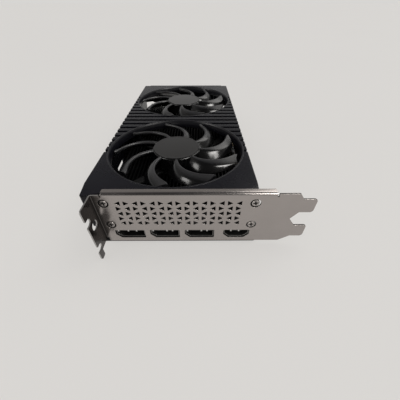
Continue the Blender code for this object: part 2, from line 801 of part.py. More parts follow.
# Display sockets
def make_port(name, centre_x, width, chamfer_right):
    """Metal shell with a moulded insert, whose tongue stops short of the mouth."""
    outer = port_outline(centre_x, width, chamfer_right, SEAT)
    inner = port_outline(centre_x, width, chamfer_right, SEAT + PORT_WALL)
    shell = flat_solid(name + "_shell", [outer, inner], PORT_SETBACK, PORT_DEPTH, "XZ")
    add_part(shell, BRIGHT_STEEL)
    inset = SEAT + PORT_WALL + SEAT
    left = centre_x - width / 2 + inset + PORT_CHAMFER
    right = centre_x + width / 2 - inset - (PORT_CHAMFER if chamfer_right else 0)
    low = PORT_BOTTOM + inset
    high = PORT_BOTTOM + PORT_HEIGHT - inset
    block_front = PORT_DEPTH - PORT_BACK_BLOCK
    tongue_low = PORT_BOTTOM + TONGUE_HEIGHT
    tongue_high = tongue_low + TONGUE_THICK
    side = [
        (TONGUE_RECESS, tongue_low), (block_front, tongue_low), (block_front, low), (PORT_DEPTH, low),
        (PORT_DEPTH, high), (block_front, high), (block_front, tongue_high), (TONGUE_RECESS, tongue_high),
    ]
    insert = flat_solid(name + "_insert", [side], left, right, "YZ")
    add_part(insert, BLACK_PLASTIC)


def make_ports():
    """The row of display sockets behind the bracket."""
    for index, x in enumerate(DP_PLACES, start=1):
        make_port("displayport_%d" % index, x, DP_WIDTH, False)
    make_port("hdmi", HDMI_X, HDMI_WIDTH, True)


# Circuit board and what is soldered to it
def make_board():
    """Board with its slot edge, key notch and screw holes."""
    front = BRACKET_THICK + BOARD_FRONT_GAP
    key_low = EDGE_KEY_Y - EDGE_KEY_WIDTH / 2
    key_high = EDGE_KEY_Y + EDGE_KEY_WIDTH / 2
    outline = rounded(
        [
            (BOARD_LEFT, front, BOARD_CORNER),
            (BOARD_RIGHT, front, BOARD_CORNER),
            (BOARD_RIGHT, EDGE_START_Y, 0),
            (EDGE_TIP_X - EDGE_CHAMFER, EDGE_START_Y, 0),
            (EDGE_TIP_X, EDGE_START_Y + EDGE_CHAMFER, 0),
            (EDGE_TIP_X, key_low, 0),
            (EDGE_TIP_X - EDGE_KEY_DEPTH, key_low, 0),
            (EDGE_TIP_X - EDGE_KEY_DEPTH, key_high, 0),
            (EDGE_TIP_X, key_high, 0),
            (EDGE_TIP_X, EDGE_END_Y - EDGE_CHAMFER, 0),
            (EDGE_TIP_X - EDGE_CHAMFER, EDGE_END_Y, 0),
            (BOARD_RIGHT, EDGE_END_Y, 0),
            (BOARD_RIGHT, BOARD_END, BOARD_CORNER),
            (BOARD_LEFT, BOARD_END, BOARD_CORNER),
        ]
    )
    hole = SCREW_SHANK_RADIUS + SCREW_CLEARANCE
    holes = [circle(x, y, hole, BORE_SIDES) for x, y in POST_PLACES + CLAMP_PLACES]
    add_part(flat_solid("circuit_board", [outline] + holes, BOARD_BOTTOM, BOARD_TOP), BOARD_MASK)


def board_block(name, x, y, size_x, size_y, base, height, finish):
    """Bevelled block soldered to the board."""
    half_x = size_x / 2
    half_y = size_y / 2
    block = boxes(name, [((-half_x, -half_y, 0), (half_x, half_y, height))])
    block.location = (x, y, base)
    return add_part(bevelled(block, CHIP_BEVEL), finish)


def make_chips():
    """Processor, memory and choke coils."""
    side = GPU_SUBSTRATE
    board_block("gpu_substrate", GPU_X, GPU_Y, side, side, SUBSTRATE_BASE, GPU_SUBSTRATE_THICK, BOARD_MASK)
    board_block("gpu_die", GPU_X, GPU_Y, GPU_DIE_X, GPU_DIE_Y, DIE_BASE, GPU_DIE_THICK, SILICON)
    index = 1
    for way in (-1, 1):
        for place in (-1, 1):
            x = GPU_X + place * MEMORY_SPREAD
            y = GPU_Y + way * MEMORY_REACH
            name = "memory_chip_%d" % index
            board_block(name, x, y, MEMORY_LONG, MEMORY_SHORT, SUBSTRATE_BASE, MEMORY_THICK, CHIP_RESIN)
            index += 1
    for place in (-1, 1):
        x = GPU_X - MEMORY_REACH
        y = GPU_Y + place * MEMORY_SPREAD
        name = "memory_chip_%d" % index
        board_block(name, x, y, MEMORY_SHORT, MEMORY_LONG, SUBSTRATE_BASE, MEMORY_THICK, CHIP_RESIN)
        index += 1
    for index in range(CHOKE_COUNT):
        x = GPU_X + (index - (CHOKE_COUNT - 1) / 2) * CHOKE_PITCH
        name = "choke_%d" % (index + 1)
        board_block(name, x, CHOKE_Y, CHOKE_SIDE, CHOKE_SIDE, SUBSTRATE_BASE, CHOKE_HEIGHT, FERRITE)


def make_headers():
    """Two small sockets for the fan leads, open upwards."""
    for name, y in (("fan_header_front", HEADER_FRONT_Y), ("fan_header_rear", HEADER_REAR_Y)):
        half_x = HEADER_WIDTH / 2
        half_y = HEADER_LENGTH / 2
        header = boxes(name, [((-half_x, -half_y, 0), (half_x, half_y, HEADER_HEIGHT))])
        header.location = (HEADER_X, y, SUBSTRATE_BASE)
        inner_x = half_x - HEADER_WALL
        inner_y = half_y - HEADER_WALL
        rim = SUBSTRATE_BASE + HEADER_HEIGHT
        low = (HEADER_X - inner_x, y - inner_y, SUBSTRATE_BASE + HEADER_WALL)
        high = (HEADER_X + inner_x, y + inner_y, rim + OVERCUT)
        cut(header, boxes(name + "_cavity", [(low, high)]))
        add_part(header, BLACK_PLASTIC)


def power_half_width():
    """Half the width of the power socket along the board's edge."""
    return POWER_CELLS * POWER_PITCH / 2 + POWER_WALL / 2


def power_height():
    """Height of the power socket over its seat."""
    return POWER_ROWS * POWER_PITCH + POWER_WALL


def make_power_socket():
    """Two rows of square cells that open at the flange-side edge of the board."""
    half = power_half_width()
    height = power_height()
    mouth = BOARD_LEFT
    base = SUBSTRATE_BASE
    body = boxes("power_socket", [((0, -half, 0), (POWER_DEPTH, half, height))])
    body.location = (mouth, POWER_Y, base)
    cells = []
    for row in range(POWER_ROWS):
        for column in range(POWER_CELLS):
            y = POWER_Y + (column - (POWER_CELLS - 1) / 2) * POWER_PITCH
            z = base + POWER_WALL / 2 + (row + 0.5) * POWER_PITCH
            low = (mouth - OVERCUT, y - POWER_CELL / 2, z - POWER_CELL / 2)
            high = (mouth + POWER_CELL_DEPTH, y + POWER_CELL / 2, z + POWER_CELL / 2)
            cells.append((low, high))
    cut(body, boxes("power_cells", cells))
    add_part(body, BLACK_PLASTIC)


# Cooler
def pipe_places():
    """X of each heat pipe."""
    return [GPU_X + (index - (PIPE_COUNT - 1) / 2) * PIPE_PITCH for index in range(PIPE_COUNT)]


def make_cold_plate():
    """Copper plate on the processor, with half-round channels for the pipes."""
    half = PLATE_SIZE / 2
    corner_low = (GPU_X - half, GPU_Y - half, PLATE_BASE)
    corner_high = (GPU_X + half, GPU_Y + half, PLATE_TOP)
    plate = boxes("cold_plate", [(corner_low, corner_high)])
    bevelled(plate, PLATE_BEVEL)
    channel = [(x, PIPE_Z) for x in pipe_places()]
    low = GPU_Y - half - OVERCUT
    high = GPU_Y + half + OVERCUT
    cut(plate, pins_along_y("plate_channels", channel, PIPE_RADIUS + SEAT, low, high, TURN_STEPS))
    bore = SCREW_SHANK_RADIUS + SCREW_CLEARANCE
    bore_top = BOARD_BOTTOM + CLAMP_SCREW_LENGTH
    cut(plate, cylinders("plate_bores", CLAMP_PLACES, bore, PLATE_BASE - OVERCUT, bore_top, BORE_SIDES))
    add_part(plate, COPPER)


def make_pipes():
    """Straight heat pipes with swaged ends."""
    length = PIPE_END_Y - PIPE_FRONT_Y
    swage = PIPE_RADIUS / 2
    profile = [
        (0, length), (swage, length), (PIPE_RADIUS, length - PIPE_RADIUS),
        (PIPE_RADIUS, PIPE_RADIUS), (swage, 0), (0, 0),
    ]
    mesh = bake(turned("heat_pipe", profile))
    for index, x in enumerate(pipe_places(), start=1):
        pipe = bpy.data.objects.new("heat_pipe_%d" % index, mesh)
        pipe.location = (x, PIPE_END_Y, PIPE_Z)
        pipe.rotation_euler = (math.pi / 2, 0, 0)
        add_part(pipe, COPPER)


def fin_profile():
    """Section of the extrusion: pipe channels under the base, then the comb of fins."""
    base_top = FIN_BASE_BOTTOM + FIN_BASE
    outline = [(FIN_LEFT, FIN_BASE_BOTTOM)]
    radius = PIPE_RADIUS + SEAT
    rise = SEAT / 2
    start = math.asin(rise / radius)
    for x in pipe_places():
        for step in range(2 * ARC_STEPS + 1):
            angle = math.pi - start - (math.pi - 2 * start) * step / (2 * ARC_STEPS)
            outline.append((x + radius * math.cos(angle), PIPE_Z + radius * math.sin(angle)))
    outline.append((FIN_RIGHT, FIN_BASE_BOTTOM))
    pitch = (FIN_RIGHT - FIN_LEFT - FIN_THICK) / (FIN_COUNT - 1)
    for index in reversed(range(FIN_COUNT)):
        left = FIN_LEFT + index * pitch
        right = left + FIN_THICK
        if index < FIN_COUNT - 1:
            outline.append((right, base_top))
        outline += [(right, FIN_TOP), (left, FIN_TOP)]
        if index > 0:
            outline.append((left, base_top))
    return outline


def make_fins():
    """Extruded heat sink along the card, raised at one corner over the power socket."""
    fins = flat_solid("heatsink_fins", [fin_profile()], FIN_FRONT_Y, FIN_END_Y, "XZ")
    corner_y = POWER_Y - power_half_width() - POWER_CLEARANCE
    corner_x = BOARD_LEFT + POWER_DEPTH + POWER_CLEARANCE
    low = (FIN_LEFT - OVERCUT, corner_y, FIN_BASE_BOTTOM - OVERCUT)
    corner_top = SUBSTRATE_BASE + power_height() + POWER_CLEARANCE
    high = (corner_x, FIN_END_Y + OVERCUT, corner_top)
    cut(fins, boxes("socket_corner", [(low, high)]))
    add_part(fins, ALUMINIUM)


# Fan shroud
def shroud_outline(inset):
    """Plan of the shroud, with a small step at each tail corner."""
    left = SHROUD_LEFT + inset
    right = SHROUD_RIGHT - inset
    front = SHROUD_FRONT + inset
    end = SHROUD_END - inset
    step_end = end - TAIL_STEP_DEPTH
    corner = max(SHROUD_CORNER - inset, 0.0)
    return rounded(
        [
            (left, front, corner),
            (right, front, corner),
            (right, step_end, corner),
            (right - TAIL_STEP_WIDTH, step_end, 0),
            (right - TAIL_STEP_WIDTH, end, 0),
            (left + TAIL_STEP_WIDTH, end, 0),
            (left + TAIL_STEP_WIDTH, step_end, 0),
            (left, step_end, corner),
        ]
    )


def facet_cutter(name, corner_x, side):
    """Wedge that slopes one front corner of the roof down towards the corner."""
    work = bmesh.new()
    ceiling = SHROUD_TOP + 3 * FACET_DROP
    for across, height in ((-FACET_RUN, -2 * FACET_DROP), (3 * FACET_RUN, 2 * FACET_DROP)):
        for along in (-2 * FACET_RUN, 2 * FACET_RUN):
            x = corner_x + side * (across / 2 + along)
            y = SHROUD_FRONT + across / 2 - along
            work.verts.new((x, y, SHROUD_TOP + height))
            work.verts.new((x, y, ceiling))
    bmesh.ops.convex_hull(work, input=work.verts)
    return mesh_object(name, work)


def groove_boxes():
    """Grooves across the roof, between its raised ribs."""
    pairs = []
    for index in range(GROOVE_COUNT):
        y = SHROUD_MID_Y + (index - (GROOVE_COUNT - 1) / 2) * RIB_PITCH
        low = (SHROUD_LEFT - OVERCUT, y - GROOVE_WIDTH / 2, SHROUD_TOP - GROOVE_DEPTH)
        high = (SHROUD_RIGHT + OVERCUT, y + GROOVE_WIDTH / 2, SHROUD_TOP + OVERCUT)
        pairs.append((low, high))
    return pairs


def stake_places():
    """Where the shroud's stakes hold the ears of both fan frames."""
    places = []
    for fan_y in (FAN_FRONT_Y, FAN_REAR_Y):
        for arm in range(FRAME_ARMS):
            angle = 2 * math.pi * (arm + 0.5) / FRAME_ARMS
            x = SHROUD_MID_X + FRAME_ARM_REACH * math.cos(angle)
            y = fan_y + FRAME_ARM_REACH * math.sin(angle)
            places.append((x, y))
    return places


def make_shroud():
    """Moulded cover with two fan openings, ribs, screw posts and bracket bosses."""
    fans = [(SHROUD_MID_X, FAN_FRONT_Y), (SHROUD_MID_X, FAN_REAR_Y)]
    roof_low = SHROUD_TOP - SHROUD_ROOF
    roof_mid = SHROUD_TOP - SHROUD_ROOF / 2
    shroud = flat_solid("fan_shroud", [shroud_outline(0)], LEFT_SKIRT_BOTTOM, SHROUD_TOP)
    hollow = flat_solid("shroud_hollow", [shroud_outline(SHROUD_WALL)], LEFT_SKIRT_BOTTOM - OVERCUT, roof_low)
    cut(shroud, hollow)
    front_inner = SHROUD_FRONT + SHROUD_WALL
    cheek_left = SHROUD_LEFT + CHEEK_LEFT_WIDTH
    cheek_right = SHROUD_RIGHT - CHEEK_RIGHT_WIDTH
    outside_left = SHROUD_LEFT - OVERCUT
    outside_right = SHROUD_RIGHT + OVERCUT
    outside_end = SHROUD_END + OVERCUT
    outside_front = SHROUD_FRONT - OVERCUT
    below = LEFT_SKIRT_BOTTOM - 2 * OVERCUT
    wall_inner = SHROUD_LEFT + SHROUD_WALL + OVERCUT
    cheek_end = SHROUD_FRONT + CHEEK_DEPTH
    tail_start = SHROUD_END - TAIL_NOTCH_LENGTH
    front_corner = (outside_right, cheek_end, CHEEK_BOTTOM)
    cut(shroud, boxes("front_cut", [((outside_left, outside_front, below), front_corner)]))
    skirt_corner = (outside_right, outside_end, SKIRT_BOTTOM)
    cut(shroud, boxes("right_skirt_cut", [((wall_inner, cheek_end, below), skirt_corner)]))
    cut(shroud, boxes("socket_side_cut", [((outside_left, LEFT_SKIRT_END, below), skirt_corner)]))
    tail_corner = (SHROUD_LEFT + TAIL_NOTCH_WIDTH, outside_end, TAIL_NOTCH_TOP)
    cut(shroud, boxes("tail_notch", [((outside_left, tail_start, below), tail_corner)]))
    slot_start = (outside_left, SIDE_SLOT_Y, SIDE_SLOT_BOTTOM)
    slot_corner = (wall_inner, SIDE_SLOT_Y + SIDE_SLOT_LENGTH, SIDE_SLOT_BOTTOM + SIDE_SLOT_HEIGHT)
    cut(shroud, boxes("side_slot", [(slot_start, slot_corner)]))
    front_start = (cheek_left, outside_front, below)
    cut(shroud, boxes("front_mouth", [(front_start, (cheek_right, front_inner, roof_low))]))
    cut(shroud, boxes("rib_grooves", groove_boxes()))
    cut(shroud, facet_cutter("facet_left", SHROUD_LEFT, 1))
    cut(shroud, facet_cutter("facet_right", SHROUD_RIGHT, -1))
    cheek_low = SHROUD_FRONT + SHROUD_WALL / 2
    wall_half = SHROUD_WALL / 2
    cheeks = boxes(
        "bracket_cheeks",
        [
            ((SHROUD_LEFT + wall_half, cheek_low, CHEEK_BOTTOM), (cheek_left, cheek_end, roof_mid)),
            ((cheek_right, cheek_low, CHEEK_BOTTOM), (SHROUD_RIGHT - wall_half, cheek_end, roof_mid)),
        ],
    )
    join(shroud, cheeks)
    boss_front = BRACKET_THICK + SEAT
    screw_places = list(BRACKET_SCREW_PLACES.values())
    boss_end = cheek_low + wall_half
    bosses = pins_along_y("bracket_bosses", screw_places, BOSS_RADIUS, boss_front, boss_end, TURN_STEPS)
    join(shroud, bosses)
    collar_low = SHROUD_TOP - COLLAR_DEPTH
    collar_high = SHROUD_TOP + COLLAR_PROUD
    collar_radius = FAN_OPENING_RADIUS + COLLAR_WALL
    join(shroud, cylinders("fan_collars", fans, collar_radius, collar_low, collar_high, OPENING_SIDES))
    opening_low = collar_low - OVERCUT
    opening_high = collar_high + OVERCUT
    openings = cylinders("fan_openings", fans, FAN_OPENING_RADIUS, opening_low, opening_high, OPENING_SIDES)
    cut(shroud, openings)
    post_low = BOARD_TOP + SEAT
    join(shroud, cylinders("screw_posts", POST_PLACES, POST_RADIUS, post_low, roof_mid, TURN_STEPS))
    frame_top = FRAME_BOTTOM + FRAME_THICK
    stakes = stake_places()
    boss_low = frame_top + SEAT
    join(shroud, cylinders("stake_bosses", stakes, STAKE_BOSS_RADIUS, boss_low, roof_mid, STAKE_SIDES))
    join(shroud, cylinders("stakes", stakes, STAKE_RADIUS, FRAME_BOTTOM, boss_low + SEAT, STAKE_SIDES))
    bore = SCREW_SHANK_RADIUS + SCREW_CLEARANCE
    post_bore_top = POST_SCREW_LENGTH + SEAT + BACKPLATE_SINK
    cut(shroud, cylinders("post_bores", POST_PLACES, bore, post_low - OVERCUT, post_bore_top, BORE_SIDES))
    bore_end = SCREW_LENGTH + SCREW_SINK + SEAT
    cut(shroud, pins_along_y("boss_bores", screw_places, bore, 0, bore_end, BORE_SIDES))
    add_part(shroud, SHROUD_PLASTIC)


# Fans
def round_point(radius, angle, height):
    """Point at a radius, an angle and a height."""
    return (radius * math.cos(angle), radius * math.sin(angle), height)


def blade_ring(name, phase):
    """All blades of one rotor: swept forwards, with the leading edge at the top."""
    work = bmesh.new()
    root = HUB_RADIUS - HUB_WALL / 2
    for blade in range(FAN_BLADES):
        turn = math.radians(phase + 360 * blade / FAN_BLADES)
        sections = []
        for station in range(BLADE_STATIONS + 1):
            share = station / BLADE_STATIONS
            radius = root + (FAN_TIP_RADIUS - root) * share
            lead = turn - math.radians(BLADE_SWEEP) * (1 - share ** BLADE_SWEEP_POWER)
            chord = math.radians(BLADE_CHORD_ROOT + (BLADE_CHORD_TIP - BLADE_CHORD_ROOT) * share)
            upper = []
            lower = []
            slope = math.atan2(BLADE_HEIGHT - BLADE_THICK, chord * radius)
            offset = BLADE_THICK / radius * math.sin(slope)
            drop = BLADE_THICK * math.cos(slope)
            for step in range(BLADE_CHORD_POINTS + 1):
                along = step / BLADE_CHORD_POINTS
                angle = lead - chord * along
                height = BLADE_TOP - (BLADE_HEIGHT - drop) * along
                upper.append(work.verts.new(round_point(radius, angle, height)))
                lower.append(work.verts.new(round_point(radius, angle + offset, height - drop)))
            sections.append(upper + lower[::-1])
        for first, second in zip(sections, sections[1:]):
            for index in range(len(first)):
                after = (index + 1) % len(first)
                work.faces.new((first[index], first[after], second[after], second[index]))
        for section in (sections[0], sections[-1]):
            for index in range(BLADE_CHORD_POINTS):
                facing = len(section) - 1 - index
                work.faces.new((section[index], section[index + 1], section[facing - 1], section[facing]))
    bmesh.ops.triangulate(work, faces=work.faces)
    return mesh_object(name, work)


def make_rotor(side, fan_y, phase):
    """Hub cup and blades in one moulding, turning on the fan's axis."""
    roof = HUB_TOP - HUB_ROOF
    boss_low = roof - HUB_BOSS_LENGTH
    bore = SHAFT_RADIUS + SEAT / 2
    bore_top = HUB_TOP - HUB_ROOF / 2
    inner = HUB_RADIUS - HUB_WALL
    profile = [
        (0, HUB_TOP), (HUB_RADIUS - HUB_EDGE, HUB_TOP), (HUB_RADIUS, HUB_TOP - HUB_EDGE),
        (HUB_RADIUS, HUB_BOTTOM), (inner, HUB_BOTTOM), (inner, roof), (HUB_BOSS_RADIUS, roof),
        (HUB_BOSS_RADIUS, boss_low), (bore, boss_low), (bore, bore_top), (0, bore_top),
    ]
    rotor = turned("fan_rotor_" + side, profile)
    rotor.modifiers["turn"].steps = ROTOR_STEPS
    rotor.modifiers["turn"].render_steps = ROTOR_STEPS
    blades = blade_ring("fan_blades_" + side, phase)
    for piece in (rotor, blades):
        piece.location = (SHROUD_MID_X, fan_y, 0)
    join(rotor, blades)
    add_part(rotor, FAN_PLASTIC)


def make_fan_motor(side, fan_y):
    """Label, shaft and magnet that turn, and the stator, bearing and frame that don't."""
    roof = HUB_TOP - HUB_ROOF
    inner = HUB_RADIUS - HUB_WALL
    frame_top = FRAME_BOTTOM + FRAME_THICK
    shaft_top = HUB_TOP - HUB_ROOF / 2 - SEAT
    boss_low = roof - HUB_BOSS_LENGTH
    label_low = HUB_TOP + SEAT
    label_high = label_low + LABEL_THICK
    label_profile = [(0, label_high), (LABEL_RADIUS, label_high), (LABEL_RADIUS, label_low), (0, label_low)]
    label = turned("fan_label_" + side, label_profile)
    shaft_low = frame_top + SEAT
    shaft_profile = [(0, shaft_top), (SHAFT_RADIUS, shaft_top), (SHAFT_RADIUS, shaft_low), (0, shaft_low)]
    shaft = turned("fan_shaft_" + side, shaft_profile)
    magnet_outer = inner - SEAT
    magnet_inner = magnet_outer - MAGNET_THICK
    magnet_top = roof - SEAT
    magnet = ring("fan_magnet_" + side, magnet_inner, magnet_outer, magnet_top - MAGNET_HEIGHT, magnet_top)
    bearing_top = boss_low - SEAT
    bore = (SHAFT_RADIUS + SHAFT_PLAY) / math.cos(math.pi / TURN_STEPS)
    bearing = ring("fan_bearing_" + side, bore, BEARING_RADIUS, shaft_low, bearing_top)
    tube_low = frame_top - FRAME_THICK / 2
    tube = ring("bearing_tube_" + side, BEARING_RADIUS + SEAT, TUBE_RADIUS, tube_low, bearing_top)
    arms = []
    holes = []
    for arm in range(FRAME_ARMS):
        angle = 2 * math.pi * (arm + 0.5) / FRAME_ARMS
        arms.append((angle, FRAME_ARM_REACH))
        x = FRAME_ARM_REACH * math.cos(angle)
        y = FRAME_ARM_REACH * math.sin(angle)
        holes.append(circle(x, y, STAKE_RADIUS + SEAT, STAKE_SIDES))
    frame = flat_solid("fan_frame_" + side, [frame_outline(arms)] + holes, FRAME_BOTTOM, frame_top)
    stator_low = frame_top + SEAT
    stator_hole = (TUBE_RADIUS + SEAT) / math.cos(math.pi / TURN_STEPS)
    stator_loops = [stator_outline(), circle(0, 0, stator_hole, TURN_STEPS)]
    stator = flat_solid("fan_stator_" + side, stator_loops, stator_low, stator_low + STATOR_HEIGHT)
    for piece in (label, shaft, magnet, bearing, tube, frame, stator):
        piece.location.x += SHROUD_MID_X
        piece.location.y += fan_y
    join(frame, tube)
    add_part(label, LABEL_FILM)
    add_part(shaft, BRIGHT_STEEL)
    add_part(magnet, FERRITE)
    add_part(bearing, BRIGHT_STEEL)
    add_part(frame, BLACK_PLASTIC)
    add_part(stator, COPPER)


def frame_outline(arms):
    """Round motor base with straight arms that end in round ears."""
    half = FRAME_ARM_WIDTH / 2
    outline = []
    for angle, reach in arms:
        along = Vector((math.cos(angle), math.sin(angle)))
        across = Vector((-along.y, along.x))
        root = math.sqrt(FRAME_DISC_RADIUS ** 2 - half ** 2)
        neck = reach - math.sqrt(FRAME_EAR_RADIUS ** 2 - half ** 2)
        outline += [along * root - across * half, along * neck - across * half]
        sweep = math.pi - math.asin(half / FRAME_EAR_RADIUS)
        for step in range(1, 2 * ARC_STEPS):
            bearing = angle - sweep + 2 * sweep * step / (2 * ARC_STEPS)
            outward = Vector((math.cos(bearing), math.sin(bearing)))
            outline.append(along * reach + FRAME_EAR_RADIUS * outward)
        outline += [along * neck + across * half, along * root + across * half]
        gap_start = angle + math.asin(half / FRAME_DISC_RADIUS)
        gap_end = angle + 2 * math.pi / len(arms) - math.asin(half / FRAME_DISC_RADIUS)
        for step in range(1, ARC_STEPS):
            bearing = gap_start + (gap_end - gap_start) * step / ARC_STEPS
            outline.append(FRAME_DISC_RADIUS * Vector((math.cos(bearing), math.sin(bearing))))
    return [tuple(point) for point in outline]


def stator_outline():
    """Wound core: a yoke with wide-shoed poles."""
    yoke = TUBE_RADIUS + SEAT + STATOR_YOKE
    half = STATOR_TOOTH / 2
    neck = STATOR_RADIUS - STATOR_SHOE
    shoe = math.radians(STATOR_SHOE_HALF_ANGLE)
    outline = []
    for pole in range(STATOR_POLES):
        angle = 2 * math.pi * pole / STATOR_POLES
        root = math.asin(half / yoke)
        throat = math.asin(half / neck)
        for radius, offset in (
            (yoke, -root), (neck, -throat), (neck, -shoe), (STATOR_RADIUS, -shoe), (STATOR_RADIUS, 0),
            (STATOR_RADIUS, shoe), (neck, shoe), (neck, throat), (yoke, root),
        ):
            outline.append((radius * math.cos(angle + offset), radius * math.sin(angle + offset)))
    return outline


def make_fans():
    """The front and the rear fan."""
    for side, fan_y, phase in (
        ("front", FAN_FRONT_Y, FAN_FRONT_PHASE),
        ("rear", FAN_REAR_Y, FAN_REAR_PHASE),
    ):
        make_rotor(side, fan_y, phase)
        make_fan_motor(side, fan_y)


# Back plate and processor clamp
def make_backplate():
    """Thin plate under the board, with spacer bosses at its screws and access holes at the clamp's."""
    margin = BACKPLATE_MARGIN
    front = BRACKET_THICK + BOARD_FRONT_GAP
    end = BOARD_END + margin
    outline = rectangle(BOARD_LEFT - margin, front, BOARD_RIGHT - margin, end, BOARD_CORNER)
    access = [circle(x, y, ACCESS_RADIUS, BORE_SIDES) for x, y in CLAMP_PLACES]
    plate = flat_solid("backplate", [outline] + access, 0, BACKPLATE_THICK)
    boss_top = BOARD_BOTTOM - SEAT
    mid = BACKPLATE_THICK / 2
    bosses = cylinders("backplate_bosses", POST_PLACES, BACKPLATE_BOSS_RADIUS, mid, boss_top, BORE_SIDES)
    join(plate, bosses)
    sink = SCREW_HEAD_RADIUS + SCREW_CLEARANCE
    bore = SCREW_SHANK_RADIUS + SCREW_CLEARANCE
    cut(plate, cylinders("backplate_sinks", POST_PLACES, sink, -OVERCUT, BACKPLATE_SINK, BORE_SIDES))
    cut(plate, cylinders("backplate_bores", POST_PLACES, bore, mid, boss_top + OVERCUT, BORE_SIDES))
    add_part(plate, PLATE_PAINT)


def make_clamp():
    """Cross-shaped spring plate that pulls the cooler on to the processor."""
    half = CLAMP_ARM / 2
    hole = SCREW_SHANK_RADIUS + SCREW_CLEARANCE
    arms = sorted(
        (math.atan2(y - GPU_Y, x - GPU_X), math.hypot(x - GPU_X, y - GPU_Y)) for x, y in CLAMP_PLACES
    )
    outline = []
    for angle, reach in arms:
        along = Vector((math.cos(angle), math.sin(angle)))
        across = Vector((-along.y, along.x))
        neck = reach - math.sqrt(CLAMP_EYE_RADIUS ** 2 - half ** 2)
        outline += [along * CLAMP_ARM - across * half, along * neck - across * half]
        sweep = math.pi - math.asin(half / CLAMP_EYE_RADIUS)
        for step in range(1, 2 * ARC_STEPS):
            bearing = angle - sweep + 2 * sweep * step / (2 * ARC_STEPS)
            outward = Vector((math.cos(bearing), math.sin(bearing)))
            outline.append(along * reach + CLAMP_EYE_RADIUS * outward)
        outline += [along * neck + across * half, along * CLAMP_ARM + across * half]
    outline = [(GPU_X + point.x, GPU_Y + point.y) for point in outline]
    holes = [circle(x, y, hole, BORE_SIDES) for x, y in CLAMP_PLACES]
    top = BOARD_BOTTOM - SEAT
    add_part(flat_solid("clamp_plate", [outline] + holes, top - CLAMP_THICK, top), BRIGHT_STEEL)


make_bracket()
make_screws()
make_ports()
make_board()
make_chips()
make_headers()
make_power_socket()
make_cold_plate()
make_pipes()
make_fins()
make_shroud()
make_fans()
make_backplate()
make_clamp()
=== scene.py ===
"""Looks of the graphics card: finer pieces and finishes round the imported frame."""
import math
import random

import bmesh
import bpy
from mathutils import Euler, Matrix, Vector


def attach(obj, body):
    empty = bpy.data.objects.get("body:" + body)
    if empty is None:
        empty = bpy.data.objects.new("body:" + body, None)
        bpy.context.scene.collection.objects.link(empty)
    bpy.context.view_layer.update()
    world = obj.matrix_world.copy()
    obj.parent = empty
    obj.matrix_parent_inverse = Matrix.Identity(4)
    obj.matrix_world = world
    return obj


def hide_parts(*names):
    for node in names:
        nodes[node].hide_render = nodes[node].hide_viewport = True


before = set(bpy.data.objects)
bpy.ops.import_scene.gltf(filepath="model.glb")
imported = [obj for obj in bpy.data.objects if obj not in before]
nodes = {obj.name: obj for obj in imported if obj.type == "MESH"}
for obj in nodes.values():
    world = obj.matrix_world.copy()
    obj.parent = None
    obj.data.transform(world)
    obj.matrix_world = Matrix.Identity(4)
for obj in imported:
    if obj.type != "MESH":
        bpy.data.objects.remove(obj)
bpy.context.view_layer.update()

# Shapes are laid out in millimetres in the card's own frame, and moved to the row frame at the end
MM = 0.001
CARD_MIDDLE = (56.15, 96.5)
TO_ROW = Matrix.Scale(MM, 4) @ Matrix.Translation((-CARD_MIDDLE[0], -CARD_MIDDLE[1], 0.0))
WELD = 0.0005

# Slot bracket
REACH = 120.0
PLATE_START = 1.0
PLATE_THICK = 0.9
PLATE_BOTTOM = 2.2
PLATE_TOP = 40.2
SHEET_ROUND = 0.1
BEND = 0.5
LIP_BEND = 1.1
BEND_STEPS = 7
FLANGE_DEPTH = 12.2
FLANGE_TOP = 39.3
FLANGE_BOTTOM = 5.5
NOTCH = 4.4
NOTCH_ROUND = 2.15
NOTCH_Z = 29.5
SLOT_PITCH = 20.32
PIN_HOLE = 3.0
PIN_REACH = 6.1
PIN_Z = 23.4
TAIL_WIDTH = 4.3
TAIL_OVERHANG = 0.8
TAIL_TIP = 0.6
TAB_WIDTH = 9.7
TAB_LENGTH = 7.6
TAB_Z = 31.6
TAB_CORNER = 1.8
TAB_NOTCH = 3.9
TAB_TOP_CHAMFER = 2.7
TAB_LOWER_RUN = 6.4
LIP_START = 5.2
LIP_END = 97.9
LIP_DEPTH = 4.2
LIP_TOP = 40.4
LIP_RELIEF = 0.8
VENT_COLUMNS = 15
VENT_ROWS = 5
VENT_X = 12.7
VENT_Z = 33.7
VENT_PITCH_X = 4.69
VENT_PITCH_Z = 3.85
VENT_HALF_LENGTH = 1.45
VENT_HALF_WIDTH = 1.6
VENT_ROUND = 0.12
# Faces of the flat blank whose normals rise less than this are its cut edges
CUT_RISE = 0.3

# Sockets
BOARD_TOP = 5.2
PORT_HEIGHT = 6.8
PORT_CHAMFER = 3.0
# Middle, width, whether both lower corners are cut, and where the springs are from the middle
PORTS = {
    "displayport_1": (15.0, 17.8, False, (-7.3, -1.4, 3.6)),
    "displayport_2": (35.95, 17.8, False, (-7.3, 1.2, 4.6)),
    "displayport_3": (56.9, 17.8, False, (-7.3, 1.2, 4.6)),
    "hdmi": (79.2, 15.6, True, (-3.2, 1.6)),
}
SHELL_OUTER = 0.3
SHELL_INNER = 0.75
SHELL_FRONT = 0.82
SHELL_BACK = 15.0
SPRING_HALF = 0.45
SPRING = [(1.0, 11.15, 0.05), (1.0, 9.7, 0.1), (1.4, 9.5, 0.15), (3.6, 11.15, 0.1)]
PORT_CONTACTS = 10
PORT_CONTACT_HALF = 0.16
PORT_CONTACT_FRONT = 2.7
PORT_CONTACT_BACK = 8.9
PORT_CONTACT_LEVELS = ((8.52, 8.6), (9.8, 9.88))
PORT_CONTACT_MARGIN = 4.2
PORT_CONTACT_SHIFT = 1.2

